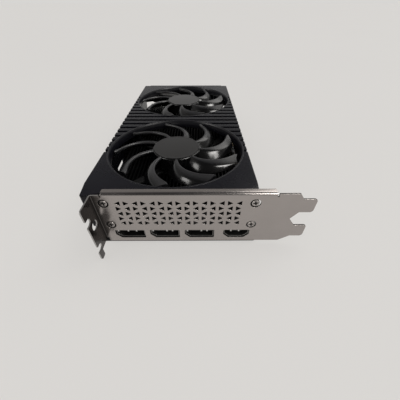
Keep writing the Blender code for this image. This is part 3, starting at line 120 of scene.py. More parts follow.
# Shroud
LEFT = -7.7
RIGHT = 89.8
FRONT = 2.6
END = 206.0
STEP_END = 204.5
STEP_WIDTH = 6.0
TOP = 38.5
FLOOR = 37.4
ROOF_LOW = 36.7
WALL = 1.6
WALL_TOP = 37.3
WALL_LOW = 15.5
LEFT_WALL_LOW = 10.4
LEFT_WALL_LOW_END = 144.0
SIDE_SLOT = (57.5, 13.2, 73.5, 17.8)
CORNER_NOTCH_START = 190.0
CORNER_NOTCH_TOP = 23.5
CORNER_NOTCH_WIDTH = 21.5
CHEEK_LOW = 12.8
CHEEK_BACK = 8.8
LEFT_CHEEK_END = 8.8
RIGHT_CHEEK_START = 83.0
SET_BACK = 0.02
RIB_PITCH = 7.5
GROOVE = 2.8
GROOVES = 16
FACET_RUN = 9.5
FACET_DROP = 2.0
FACET_LOW = 30.0
FAN_X = 41.05
# Place along the card, and turn of the first blade in degrees
FANS = {"front": (53.7, 27.5), "rear": (154.9, 20.5)}
OPENING = 45.6
COLLAR = 46.8
COLLAR_LOW = 33.0
COLLAR_TOP = 38.7
RIB_CUT = 46.2
SCREW_BORE = 1.5
BOSS = 2.1
BOSS_FRONT = 1.2
BOSS_BACK = 4.4
POST = 3.1
POST_LOW = 5.5
POST_INSET = 4.6
POSTS = [(x, y) for y in (18.5, 104.3) for x in (LEFT + POST_INSET, RIGHT - POST_INSET)]
ARMS = 4
STAKE = 2.8
STAKE_LOW = 26.9
STAKE_REACH = 50
PEG = 1.2
PEG_LOW = 25.0
PEG_TOP = 27.2

# Screws
SCREW_PLACES = {
    "lower_left": (5.2, 16.9),
    "upper_left": (5.2, 33.6),
    "lower_right": (87.2, 16.9),
    "upper_right": (87.2, 33.6),
}
SCREW_HOLE = 2.9
SCREW_SINK = 0.1
SCREW_HEAD = 1.3
SCREW_LENGTH = 6.2
SCREW_TURN = 4
HEAD_RADIUS = 2.2
SHANK = 1.2
THREAD_ROOT = 1.08
THREAD_PITCH = 0.4
CLAMP_Y = 90
CLAMP_HALF = 26.67
CLAMPS = [(FAN_X + side * CLAMP_HALF, CLAMP_Y + end * CLAMP_HALF) for side in (-1, 1) for end in (-1, 1)]
# Places, height of the head's face, depth of the head, and length
LOWER_SCREWS = {
    "backplate_screw": (POSTS, 0.2, 0.8, 12.0),
    "clamp_screw": (CLAMPS, 1.2, 1.0, 7.8),
}

# Rotors
TIP = 42.4
HUB = 16.5
HUB_OVERLAP = 0.6
BLADES = 9
STATIONS = 16
SWEEP = 30.5
SWEEP_POWER = 1.65
CHORD_ROOT = 24.0
CHORD_TIP = 13.5
BLADE_TOP = 38.2
BLADE_LOW = 29.45
BLADE_SLOPE = 0.36
BLADE_TURN = 0.12
BLADE_CURVE = 0.5
BLADE_NOSE = 1.2
BLADE_TAIL = 0.45
FLAT_ROOT = 0.05
FLAT_TIP = 0.75
TIP_LIFT = 0.36
TIP_START = 0.86
TIP_ROUND = 3.2
TIP_END = 0.98
LEAD_ADVANCE = 4.0
# Points along the flat crest, and over how many points its painted sheen fades out
CREST_STEPS = 6
CREST_FADE = 4
FACE_STEPS = 6
NOSE_STEPS = 6
# Profiles of (radius, height), with the rounding of each corner for the hub
HUB_PROFILE = [
    (0, 38.0, 0), (HUB, 38.0, 0.7), (HUB, 28.5, 0.15), (HUB - 1.3, 28.5, 0.15), (HUB - 1.3, 36.6, 0.5),
    (3.0, 36.6, 0.3), (3.0, 34.4, 0.1), (1.15, 34.4, 0.1), (1.15, 37.3, 0), (0, 37.3, 0),
]
DISC_PROFILE = [
    (0, 38.47), (13.6, 38.47), (14.0, 38.42), (14.4, 38.47), (15.5, 38.5), (15.74, 38.44), (15.8, 38.3),
    (0, 38.3),
]

# Board
SLOT_CONTACTS = 82
SLOT_CONTACTS_SHORT = 11
SLOT_SHORT_START = 48.2
SLOT_LONG_START = 61.2
SLOT_CONTACT_HALF = 0.34
SLOT_CONTACT_START = 95.4
SLOT_CONTACT_LATE_START = 96.8
SLOT_CONTACT_END = 102.9
SLOT_CONTACT_LEVELS = ((3.55, 3.62), (5.18, 5.25))
CAPACITOR_X = 88.9
CAPACITOR_HALF = 2.9
CAPACITORS = (30.0, 38.0, 46.0, 54.0, 80.0, 88.0, 96.0, 113.0, 121.0, 129.0, 152.0, 160.0)
CAN_PROFILE = [
    (0, 11.2), (2.2, 11.2), (2.62, 11.05), (2.75, 10.7), (2.75, 7.6), (2.5, 7.3), (2.5, 7.1), (2.75, 6.8),
    (2.75, 6.2), (0, 6.2),
]
SMALL_PARTS = 150
SMALL_PART_LOW = 5.22
SMALL_PART_SIZES = ((1.0, 0.5, 0.5), (1.6, 0.8, 0.8), (2.0, 1.25, 0.9))
END_GROWTH = 0.03
# Spots by the posts that the small parts stay away from
KEPT_CLEAR = ((-2.4, 104.3), (84.8, 104.3), (-2.4, 18.5))
POWER_Y = 156.0
POWER_LOW = 6.0
POWER_PITCH = 4.2
HEADERS = {"front": 68.0, "rear": 140.0}
HEADER_X = 86.0
HEADER_PITCH = 2.0
HEADER_PIN = [(0, 9.9), (0.2, 9.85), (0.3, 9.5), (0.3, 6.15), (0, 6.15)]

# Room: colours of the sky by height, and how far the part behind the camera is dimmed
SKY = (
    (0.0, (0.68, 0.67, 0.65)), (0.15, (0.62, 0.61, 0.60)), (0.29, (0.55, 0.545, 0.54)),
    (0.42, (0.24, 0.235, 0.23)), (0.65, (0.33, 0.32, 0.31)), (1.0, (0.07, 0.07, 0.075)),
)
DIM_DEPTHS = (-0.4, 0.1)
DIM_HEIGHTS = (0.15, 0.35)
DIM_LEAST = 0.25
LAMP_COLOUR = (1.0, 0.98, 0.95)
WINDOW_PANES = ((0.62, -0.34, 0.71), (0.52, -0.48, 0.71), (0.39, -0.59, 0.71), (0.68, -0.52, 0.52))

# Table
TABLE_DARK = (0.70, 0.685, 0.665, 1.0)
TABLE_LIGHT = (0.76, 0.75, 0.735, 1.0)
TABLE_GLOW = (0.68, 0.665, 0.645, 1.0)
TABLE_GLOW_SHARE = 0.80
TABLE_SIZE = 60
TABLE_DROP = 0.0002

# Grain of the finishes: share of the fine noise, its depth, and the spans of noise that tint and gloss follow
FINE_SHARE = 0.35
GRAIN_DEPTH = 0.0002
TINT_SPAN = (0.4, 0.95)
GLOSS_SPAN = (0.3, 0.7)

scene = bpy.context.scene


# Shader helpers
def feed(tree, socket, given):
    """Link a socket to an output, or set it to a plain value."""
    if isinstance(given, bpy.types.NodeSocket):
        tree.links.new(given, socket)
    else:
        socket.default_value = given


def noise(tree, coords, scale, detail, rough):
    """Output of a noise texture."""
    item = tree.nodes.new("ShaderNodeTexNoise")
    for key, given in (("Vector", coords), ("Scale", scale), ("Detail", detail), ("Roughness", rough)):
        feed(tree, item.inputs[key], given)
    return item.outputs["Fac"]


def ranged(tree, value, from_range, to_range):
    """Output that follows a value from one range of numbers to another."""
    item = tree.nodes.new("ShaderNodeMapRange")
    keys = ("Value", "From Min", "From Max", "To Min", "To Max")
    for key, given in zip(keys, (value, *from_range, *to_range)):
        feed(tree, item.inputs[key], given)
    return item.outputs["Result"]


def scaled(tree, colour, factor):
    """Output of a colour whose brightness varies."""
    item = tree.nodes.new("ShaderNodeVectorMath")
    item.operation = "SCALE"
    feed(tree, item.inputs[0], colour)
    feed(tree, item.inputs["Scale"], factor)
    return item.outputs["Vector"]


def worked(tree, operation, *values):
    """Output of a sum on varying values."""
    item = tree.nodes.new("ShaderNodeMath")
    item.operation = operation
    for socket, given in zip(item.inputs, values):
        feed(tree, socket, given)
    return item.outputs["Value"]


# Finishes
def finish(name, colour, rough, metal=0.0, vary=0.2, spread=60.0, grain=1500.0, bump=0.1, rough_vary=0.1,
           stretch=(1.0, 1.0, 1.0), edge=0.00025, specular=0.5, shade=None, crest=None):
    """Finish whose colour, gloss and grain vary over the piece, with softly rounded edges.

    shade is (axis, start, end, level): painted shade, darker by that level before the start, along an axis of
    the row frame.
    crest is (brighter, rougher): a painted sheen, paler and rougher where the mesh is marked as a crest.
    """
    made = bpy.data.materials.new(name)
    made.use_nodes = True
    tree = made.node_tree
    shader = tree.nodes["Principled BSDF"]
    coords = tree.nodes.new("ShaderNodeTexCoord").outputs["Object"]
    mapping = tree.nodes.new("ShaderNodeMapping")
    mapping.inputs["Scale"].default_value = stretch
    tree.links.new(coords, mapping.inputs["Vector"])
    broad = noise(tree, mapping.outputs["Vector"], spread, 4.0, 0.6)
    fine = noise(tree, mapping.outputs["Vector"], grain, 3.0, 0.65)
    mottle = worked(tree, "MULTIPLY_ADD", fine, FINE_SHARE, broad)
    tint = scaled(tree, colour, ranged(tree, mottle, TINT_SPAN, (1.0 - vary, 1.0 + vary)))
    roughest = min(rough * (1.0 + rough_vary), 1.0)
    gloss = ranged(tree, broad, GLOSS_SPAN, (rough * (1.0 - rough_vary), roughest))
    if shade is not None:
        axis, low, high, level = shade
        split = tree.nodes.new("ShaderNodeSeparateXYZ")
        tree.links.new(coords, split.inputs["Vector"])
        tint = scaled(tree, tint, ranged(tree, split.outputs[axis], (low, high), (level, 1.0)))
    if crest is not None:
        brighter, rougher = crest
        mark = tree.nodes.new("ShaderNodeAttribute")
        mark.attribute_name = "crest"
        tint = scaled(tree, tint, ranged(tree, mark.outputs["Fac"], (0.0, 1.0), (1.0, brighter)))
        gloss = worked(tree, "MULTIPLY_ADD", mark.outputs["Fac"], rougher, gloss)
    tree.links.new(tint, shader.inputs["Base Color"])
    tree.links.new(gloss, shader.inputs["Roughness"])
    relief = tree.nodes.new("ShaderNodeBump")
    relief.inputs["Strength"].default_value = bump
    relief.inputs["Distance"].default_value = GRAIN_DEPTH
    tree.links.new(fine, relief.inputs["Height"])
    if edge > 0:
        soft = tree.nodes.new("ShaderNodeBevel")
        soft.samples = 4
        soft.inputs["Radius"].default_value = edge
        tree.links.new(soft.outputs["Normal"], relief.inputs["Normal"])
    tree.links.new(relief.outputs["Normal"], shader.inputs["Normal"])
    shader.inputs["Metallic"].default_value = metal
    shader.inputs["Specular IOR Level"].default_value = specular
    return made


# The sheet is painted darker on the flange and its fold: a painted shade for the dark room that the flange
# reflects.
NICKEL = finish("satin_nickel", (0.39, 0.36, 0.345), 0.22, 1.0, vary=0.05, grain=2600.0, bump=0.03,
                edge=0.0001, shade=("X", -0.0560, -0.0535, 0.17))
SCREW_STEEL = finish("screw_steel", (0.42, 0.39, 0.375), 0.24, 1.0, vary=0.15, bump=0.05, edge=0.0001)
STEEL = finish("bright_steel", (0.56, 0.55, 0.54), 0.28, 1.0, vary=0.1, bump=0.04, edge=0.0001)
# The socket shells are painted dark as shade inside the cut-outs; only their front rim keeps a lighter metal.
SHADED_SHELL = finish("socket_shell_painted_shade", (0.05, 0.05, 0.049), 0.48, 1.0, vary=0.1, bump=0.04, edge=0.0001)
RIM = finish("rolled_rim", (0.26, 0.25, 0.24), 0.34, 1.0, vary=0.2, bump=0.05, edge=0.0)
# Cross recesses of the screws are painted near black: painted shade in the recess.
RECESS_SHADE = finish("recess_painted_shade", (0.012, 0.011, 0.010), 0.60, vary=0.2, bump=0.1, edge=0.0)
# Cut edges of the plate, round its vents, holes and sockets, are painted near black: painted shade in the
# cut-outs.
SHADED_CUT_EDGE = finish("cut_edge_painted_shade", (0.03, 0.029, 0.028), 0.70, 0.3, vary=0.2, bump=0.1, edge=0.0, specular=0.1)
EDGE = finish("bare_edge", (0.42, 0.41, 0.40), 0.35, 1.0, vary=0.1, bump=0.05, edge=0.0)
FRAME = finish("frame_plastic", (0.006, 0.006, 0.0065), 0.45, vary=0.2, bump=0.12)
SHROUD = finish("shroud_grain", (0.0055, 0.0055, 0.0086), 0.27, vary=0.2, grain=4200.0, bump=0.2,
                specular=0.15)
# Blades are glossy black, with a painted sheen on their crests: six times paler and rougher there.
ROTOR = finish("rotor_gloss", (0.0030, 0.0030, 0.0033), 0.19, vary=0.15, grain=2200.0, bump=0.02, edge=0.0,
               specular=0.55, crest=(6.0, 0.18))
BELL = finish("bell_mouth", (0.0055, 0.0055, 0.0086), 0.34, vary=0.1, grain=4200.0, bump=0.05, edge=0.0,
              specular=0.3)
DISC = finish("disc_film", (0.009, 0.0087, 0.0086), 0.29, vary=0.06, grain=3000.0, bump=0.025,
              rough_vary=0.03, edge=0.0, specular=0.64)
PLASTIC = finish("connector_plastic_black", (0.014, 0.014, 0.014), 0.48, vary=0.2, bump=0.12)
MASK = finish("board_solder_mask", (0.010, 0.016, 0.012), 0.36, vary=0.35, spread=240.0, grain=900.0,
              bump=0.12)
RESIN = finish("chip_moulding", (0.018, 0.018, 0.020), 0.55, vary=0.15, bump=0.15)
SILICON = finish("die_silicon", (0.20, 0.20, 0.23), 0.12, 0.6, vary=0.08, bump=0.01)
COPPER = finish("bare_copper", (0.66, 0.31, 0.17), 0.30, 1.0, vary=0.15, stretch=(1.0, 0.15, 1.0), bump=0.06)
FIN = finish("dark_fins", (0.005, 0.005, 0.0054), 0.55, 0.5, vary=0.2, stretch=(1.0, 0.1, 1.0), bump=0.08,
             specular=0.2)
FERRITE = finish("ferrite_grey", (0.065, 0.065, 0.068), 0.62, 0.1, vary=0.3, grain=3000.0, bump=0.3)
BRONZE = finish("sintered_bronze", (0.42, 0.27, 0.12), 0.45, 1.0, vary=0.2, bump=0.2)
WINDING = finish("lacquered_winding", (0.40, 0.16, 0.07), 0.30, 0.8, vary=0.3, stretch=(1.0, 1.0, 6.0),
                 bump=0.4)
PLATE_BLACK = finish("plate_black", (0.014, 0.014, 0.016), 0.40, 0.2, vary=0.15, grain=3600.0, bump=0.15)
GOLD = finish("contact_gold", (0.72, 0.48, 0.16), 0.25, 1.0, vary=0.1, bump=0.03, edge=0.0)
TIN = finish("solder_tin", (0.60, 0.60, 0.60), 0.32, 1.0, vary=0.15, bump=0.1, edge=0.0)
CERAMIC = finish("capacitor_ceramic", (0.16, 0.10, 0.055), 0.50, vary=0.25, bump=0.1, edge=0.0)


# Mesh helpers
def to_mesh(work, name):
    """Turn a bmesh into a mesh with its faces pointing out."""
    bmesh.ops.recalc_face_normals(work, faces=work.faces)
    mesh = bpy.data.meshes.new(name)
    work.to_mesh(mesh)
    work.free()
    return mesh


def baked(item):
    """Mesh of an unlinked object with its modifiers applied."""
    scene.collection.objects.link(item)
    bpy.context.view_layer.update()
    mesh = bpy.data.meshes.new_from_object(item.evaluated_get(bpy.context.evaluated_depsgraph_get()))
    bpy.data.objects.remove(item, do_unlink=True)
    return mesh


def merged(meshes, name):
    """One mesh that holds several."""
    work = bmesh.new()
    for mesh in meshes:
        work.from_mesh(mesh)
    made = bpy.data.meshes.new(name)
    work.to_mesh(made)
    work.free()
    return made


def rounded(corners, steps=5):
    """Outline through (x, y, radius) corners, each corner replaced by a tangent arc."""
    outline = []
    for index, (x, y, radius) in enumerate(corners):
        here = Vector((x, y))
        if radius <= 0:
            outline.append((x, y))
            continue
        before = (Vector(corners[index - 1][:2]) - here).normalized()
        after = (Vector(corners[(index + 1) % len(corners)][:2]) - here).normalized()
        half = before.angle(after) / 2
        centre = here + (before + after).normalized() * (radius / math.sin(half))
        first = here + before * (radius / math.tan(half)) - centre
        last = here + after * (radius / math.tan(half)) - centre
        turn = math.atan2(first.x * last.y - first.y * last.x, first.dot(last))
        for step in range(steps + 1):
            angle = math.atan2(first.y, first.x) + turn * step / steps
            outline.append((centre.x + radius * math.cos(angle), centre.y + radius * math.sin(angle)))
    return outline


def circle(x, y, radius, sides=32):
    """Points round a circle."""
    turns = [2 * math.pi * step / sides for step in range(sides)]
    return [(x + radius * math.cos(turn), y + radius * math.sin(turn)) for turn in turns]


def rectangle(x0, y0, x1, y1, radius=0.0):
    """Rectangle with rounded corners."""
    return rounded([(x0, y0, radius), (x1, y0, radius), (x1, y1, radius), (x0, y1, radius)])


PLANES = {
    "XY": (Matrix.Identity(4), Vector((0, 0, 1))),
    "XZ": (Euler((math.pi / 2, 0, 0)).to_matrix().to_4x4(), Vector((0, 1, 0))),
    "YZ": (Euler((math.pi / 2, 0, math.pi / 2)).to_matrix().to_4x4(), Vector((1, 0, 0))),
}


def solid(loops, low, high, edge=0.15, plane="XY", rounds=1):
    """Flat solid with an outline and holes, whose edges are rounded."""
    curve = bpy.data.curves.new("outline", "CURVE")
    curve.dimensions = "2D"
    curve.fill_mode = "BOTH"
    curve.extrude = (high - low) / 2 - edge
    curve.bevel_depth = edge
    curve.bevel_resolution = rounds
    curve.offset = -edge
    for loop in loops:
        spline = curve.splines.new("POLY")
        spline.points.add(len(loop) - 1)
        for point, (u, v) in zip(spline.points, loop):
            point.co = (u, v, 0, 1)
        spline.use_cyclic_u = True
    mesh = baked(bpy.data.objects.new("outline", curve))
    work = bmesh.new()
    work.from_mesh(mesh)
    bmesh.ops.remove_doubles(work, verts=work.verts, dist=WELD)
    bpy.data.meshes.remove(mesh)
    mesh = to_mesh(work, "solid")
    turn, axis = PLANES[plane]
    mesh.transform(Matrix.Translation(axis * ((low + high) / 2)) @ turn)
    return mesh


def lathe(profile, steps=48, centre=(0.0, 0.0), closed=False):
    """Profile of (radius, height) points turned round an upright axis."""
    work = bmesh.new()
    rings = []
    for radius, height in profile:
        if radius < WELD:
            rings.append([work.verts.new((centre[0], centre[1], height))])
        else:
            rings.append([work.verts.new((x, y, height)) for x, y in circle(*centre, radius, steps)])
    pairs = list(zip(rings, rings[1:]))
    if closed:
        pairs.append((rings[-1], rings[0]))
    for upper, lower in pairs:
        for step in range(steps):
            after = (step + 1) % steps
            corners = [upper[step % len(upper)], lower[step % len(lower)],
                       lower[after % len(lower)], upper[after % len(upper)]]
            corners = list(dict.fromkeys(corners))
            if len(corners) > 2:
                work.faces.new(corners)
    return to_mesh(work, "turned")


def place(name, mesh, body, look, stands_for=(), angle=35.0, others=()):
    """Put a finished mesh into the row frame and let it ride a body."""
    mesh.transform(TO_ROW)
    for material in (look, *others):
        mesh.materials.append(material)
    mesh.shade_smooth()
    mesh.set_sharp_from_angle(angle=math.radians(angle))
    piece = bpy.data.objects.new(name, mesh)
    scene.collection.objects.link(piece)
    normals = piece.modifiers.new("normals", "WEIGHTED_NORMAL")
    normals.keep_sharp = True
    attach(piece, body)
    if stands_for:
        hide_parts(*stands_for)
    return piece


# Slot bracket, folded from a flat blank
FOLD = (BEND + PLATE_THICK / 2) * math.pi / 2
LIP_FOLD = (LIP_BEND + PLATE_THICK / 2) * math.pi / 2
LIP_BEND_Z = LIP_TOP - PLATE_THICK - LIP_BEND


def blank_x(reach):
    """Blank position of a point on the flange."""
    return BEND - FOLD - (reach - BEND)


def port_outline(centre, width, both, inset):
    """Outline of a display socket with one or both lower corners cut off."""
    left = centre - width / 2 + inset
    right = centre + width / 2 - inset
    low = BOARD_TOP + inset
    high = BOARD_TOP + PORT_HEIGHT - inset
    cut = PORT_CHAMFER - inset * (2 - math.sqrt(2))
    corners = [(left, high, 0.5), (left, low + cut, 0.6), (left + cut, low, 0.6)]
    if both:
        corners += [(right - cut, low, 0.6), (right, low + cut, 0.6)]
    else:
        corners += [(right, low, 0.5)]
    return rounded(corners + [(right, high, 0.5)], 3)


def bracket_loops():
    """Outline of the blank, its vents, holes and socket cut-outs."""
    root = REACH - TAB_LENGTH
    upper_low = TAB_Z - TAB_WIDTH / 2
    upper_high = TAB_Z + TAB_WIDTH / 2
    lower_low = upper_low - SLOT_PITCH
    lower_high = upper_high - SLOT_PITCH
    edge = blank_x(FLANGE_DEPTH)
    tail = blank_x(FLANGE_DEPTH + TAIL_OVERHANG)
    tail_top = NOTCH_Z - SLOT_PITCH - NOTCH / 2
    lip = LIP_BEND_Z + LIP_FOLD + LIP_DEPTH - PLATE_THICK - LIP_BEND
    relief = LIP_BEND_Z - BEND / 2
    notches = []
    for z in (NOTCH_Z, NOTCH_Z - SLOT_PITCH):
        notches += [(edge, z + NOTCH / 2, 0.3), (edge + NOTCH, z + NOTCH / 2, NOTCH_ROUND),
                    (edge + NOTCH, z - NOTCH / 2, NOTCH_ROUND), (edge, z - NOTCH / 2, 0.3)]
    notches[-1] = (edge, tail_top, 0)
    outline = rounded(
        [(PLATE_START, PLATE_BOTTOM, 0.5), (root - TAB_LOWER_RUN, PLATE_BOTTOM, 1.8), (root, lower_low, 0.8),
         (REACH, lower_low, TAB_CORNER), (REACH, lower_high, TAB_CORNER), (root, lower_high, 0.8),
         (root - TAB_NOTCH, (lower_high + upper_low) / 2, 0.8), (root, upper_low, 0.8),
         (REACH, upper_low, TAB_CORNER), (REACH, upper_high, TAB_CORNER), (root, upper_high, 0.6),
         (root - TAB_TOP_CHAMFER, PLATE_TOP, 0.6), (LIP_END + LIP_RELIEF, PLATE_TOP, 0),
         (LIP_END + LIP_RELIEF, relief, 0), (LIP_END, relief, 0), (LIP_END, lip, 0.5), (LIP_START, lip, 0.5),
         (LIP_START, relief, 0), (LIP_START - LIP_RELIEF, relief, 0),
         (LIP_START - LIP_RELIEF, FLANGE_TOP, 0), (edge, FLANGE_TOP, 1.5)]
        + notches
        + [(tail, tail_top, 0.3), (tail, TAIL_TIP, 1.6), (tail + TAIL_WIDTH, TAIL_TIP, 0.6),
           (tail + TAIL_WIDTH, FLANGE_BOTTOM, 0.5), (PLATE_START, FLANGE_BOTTOM, 0)]
    )
    loops = [outline, circle(blank_x(PIN_REACH), PIN_Z, PIN_HOLE)]
    loops += [circle(x, z, SCREW_HOLE) for x, z in SCREW_PLACES.values()]
    for column in range(VENT_COLUMNS):
        for row in range(VENT_ROWS):
            x = VENT_X + column * VENT_PITCH_X
            z = VENT_Z - row * VENT_PITCH_Z
            way = -1 if (column + row) % 2 == 0 else 1
            tip, base = x + way * VENT_HALF_LENGTH, x - way * VENT_HALF_LENGTH
            loops.append(rounded([(tip, z, VENT_ROUND), (base, z + VENT_HALF_WIDTH, VENT_ROUND),
                                  (base, z - VENT_HALF_WIDTH, VENT_ROUND)], 2))
    loops += [port_outline(x, width, both, 0) for x, width, both, _ in PORTS.values()]
    return loops


def folded(point):
    """Where a point of the blank ends up once the lip and the flange are folded."""
    x, y, z = point
    along = z - LIP_BEND_Z
    if along > 0 and LIP_START - WELD <= x <= LIP_END + WELD:
        radius = PLATE_THICK + LIP_BEND - y
        angle = min(along / LIP_FOLD, 1.0) * math.pi / 2
        y = PLATE_THICK + LIP_BEND - radius * math.cos(angle) + max(along - LIP_FOLD, 0.0)
        z = LIP_BEND_Z + radius * math.sin(angle)
    along = BEND - x
    if along > 0:
        radius = BEND + y
        angle = min(along / FOLD, 1.0) * math.pi / 2
        x = BEND - radius * math.sin(angle)
        y = -BEND + radius * math.cos(angle) - max(along - FOLD, 0.0)
    return (x, y, z)


def make_bracket():
    """Folded sheet with rounded edges. Its flange is painted darker as shade, its cut edges on the plate,
    round the vents, holes and sockets, are painted near black as shade, and the cut edges of the flange are
    bare.
    """
    blank = solid(bracket_loops(), 0.0, PLATE_THICK, SHEET_ROUND)
    work = bmesh.new()
    work.from_mesh(blank)
    work.normal_update()
    for face in work.faces:
        # Cut faces on the plate take the near-black painted shade, and those on the flange take the bare edge
        # finish.
        if abs(face.normal.z) < CUT_RISE:
            face.material_index = 2 if face.calc_center_median().x < BEND else 1
    for vert in work.verts:
        u, v, level = vert.co
        vert.co = (u, PLATE_THICK - level, v)
    for step in range(BEND_STEPS + 1):
        share = step / BEND_STEPS
        flange_cut = ((BEND - FOLD * share, 0, 0), (1, 0, 0))
        lip_cut = ((0, 0, LIP_BEND_Z + LIP_FOLD * share), (0, 0, 1))
        for point, normal in (flange_cut, lip_cut):
            everything = work.verts[:] + work.edges[:] + work.faces[:]
            bmesh.ops.bisect_plane(work, geom=everything, dist=WELD, plane_co=point, plane_no=normal)
    for vert in work.verts:
        vert.co = folded(vert.co)
    place("bracket_sheet", to_mesh(work, "bracket"), "card", NICKEL, ["io_bracket"], 40,
          (SHADED_CUT_EDGE, EDGE))


# Screws
def screw_mesh(head, length, flat):
    """Cross-head screw, head up with its top at zero."""
    rim = [(0, 0.0), (1.9, 0.0), (2.06, -0.05), (2.15, -0.18), (HEAD_RADIUS, -head * 0.4)]
    under = [(SHANK, -head)] if flat else [(HEAD_RADIUS, -head), (SHANK, -head)]
    shank = []
    depth = head
    while depth < length - 0.5:
        shank += [(SHANK, -depth - 0.05), (THREAD_ROOT, -depth - 0.25)]
        depth += THREAD_PITCH
    screw = bpy.data.objects.new("screw", lathe(rim + under + shank + [(0.9, -length), (0, -length)], 36))
    slots = []
    for index, (x, y) in enumerate(((1.45, 0.40), (0.40, 1.45))):
        slot = bpy.data.objects.new("slot", solid([rectangle(-x, -y, x, y, 0.1)], -0.9, 2.0, 0.02))
        scene.collection.objects.link(slot)
        slot.hide_render = True
        step = screw.modifiers.new("slot%d" % index, "BOOLEAN")
        step.object = slot
        slots.append(slot)
    mesh = baked(screw)
    for slot in slots:
        bpy.data.objects.remove(slot, do_unlink=True)
    # Faces in the cross recess take the painted shade.
    for face in mesh.polygons:
        x, y, z = face.center
        face.material_index = 1 if math.hypot(x, y) < 1.6 and -head < z < -0.01 else 0
    return mesh


def make_screws():
    """Screws of the bracket, the back plate and the clamp."""
    facing = Matrix.Rotation(math.pi / 2, 4, "X")
    down = Matrix.Rotation(math.pi, 4, "X")
    source = screw_mesh(SCREW_HEAD, SCREW_LENGTH, True)
    for index, (name, (x, z)) in enumerate(SCREW_PLACES.items()):
        mesh = source.copy()
        spin = Matrix.Rotation(math.radians(SCREW_TURN * index), 4, "Z")
        mesh.transform(Matrix.Translation((x, SCREW_SINK, z)) @ facing @ spin)
        place("screw_" + name, mesh, "card", SCREW_STEEL, ["bracket_screw_" + name],
              others=(RECESS_SHADE,))
    for kind, (places, top, head, length) in LOWER_SCREWS.items():
        source = screw_mesh(head, length, False)
        for index, (x, y) in enumerate(places, start=1):
            mesh = source.copy()
            mesh.transform(Matrix.Translation((x, y, top)) @ down)
            place("%s_head_%d" % (kind, index), mesh, "card", STEEL,
                  ["%s_%d" % (kind, index)], others=(RECESS_SHADE,))


# Display sockets
def make_ports():
    """Rolled shells painted dark as shade behind a lighter front rim, springs and rows of contacts."""
    for name, (centre, width, both, springs) in PORTS.items():
        outer = port_outline(centre, width, both, SHELL_OUTER)
        inner = port_outline(centre, width, both, SHELL_INNER)
        shell = solid([outer, inner], SHELL_FRONT, SHELL_BACK, 0.12, "XZ", 2)
        # Front faces take the lighter rim, and the rest of each shell the dark painted shade.
        for face in shell.polygons:
            face.material_index = 1 if face.normal.y < -0.5 else 0
        place(name + "_rolled_shell", shell, "card", SHADED_SHELL, [name + "_shell"], others=(RIM,))
        tabs = []
        for offset in springs:
            x = centre + offset
            tabs.append(solid([rounded(SPRING, 3)], x - SPRING_HALF, x + SPRING_HALF, 0.05, "YZ"))
        place(name + "_springs", merged(tabs, "springs"), "card", STEEL)
        strips = []
        middle = centre + (0.0 if both else PORT_CONTACT_SHIFT)
        reach = width / 2 - PORT_CONTACT_MARGIN
        for index in range(PORT_CONTACTS):
            x = middle - reach + 2 * reach * index / (PORT_CONTACTS - 1)
            strip = rectangle(x - PORT_CONTACT_HALF, PORT_CONTACT_FRONT,
                              x + PORT_CONTACT_HALF, PORT_CONTACT_BACK, 0.1)
            strips += [solid([strip], low, high, 0.02) for low, high in PORT_CONTACT_LEVELS]
        place(name + "_contacts", merged(strips, "contacts"), "card", GOLD)


# Shroud
def bite(y, centre_y):
    """Half width of a fan opening at a height across the roof."""
    room = RIB_CUT ** 2 - (y - centre_y) ** 2
    return math.sqrt(room) if room > 0 else 0.0


def arc(low, high, centre_y, side, steps=10):
    """Edge of a fan opening between two heights, on one side."""
    points = []
    for step in range(steps + 1):
        y = low + (high - low) * step / steps
        points.append((FAN_X + side * bite(y, centre_y), y))
    return points


def cap(level, centre_y, inwards, steps=40):
    """Edge of a fan opening that closes round its near or far side, from right to left."""
    start = math.asin((level - centre_y) / RIB_CUT)
    points = []
    for step in range(steps + 1):
        turn = start + (inwards * math.pi - 2 * start) * step / steps
        points.append((FAN_X + RIB_CUT * math.cos(turn), centre_y + RIB_CUT * math.sin(turn)))
    return points


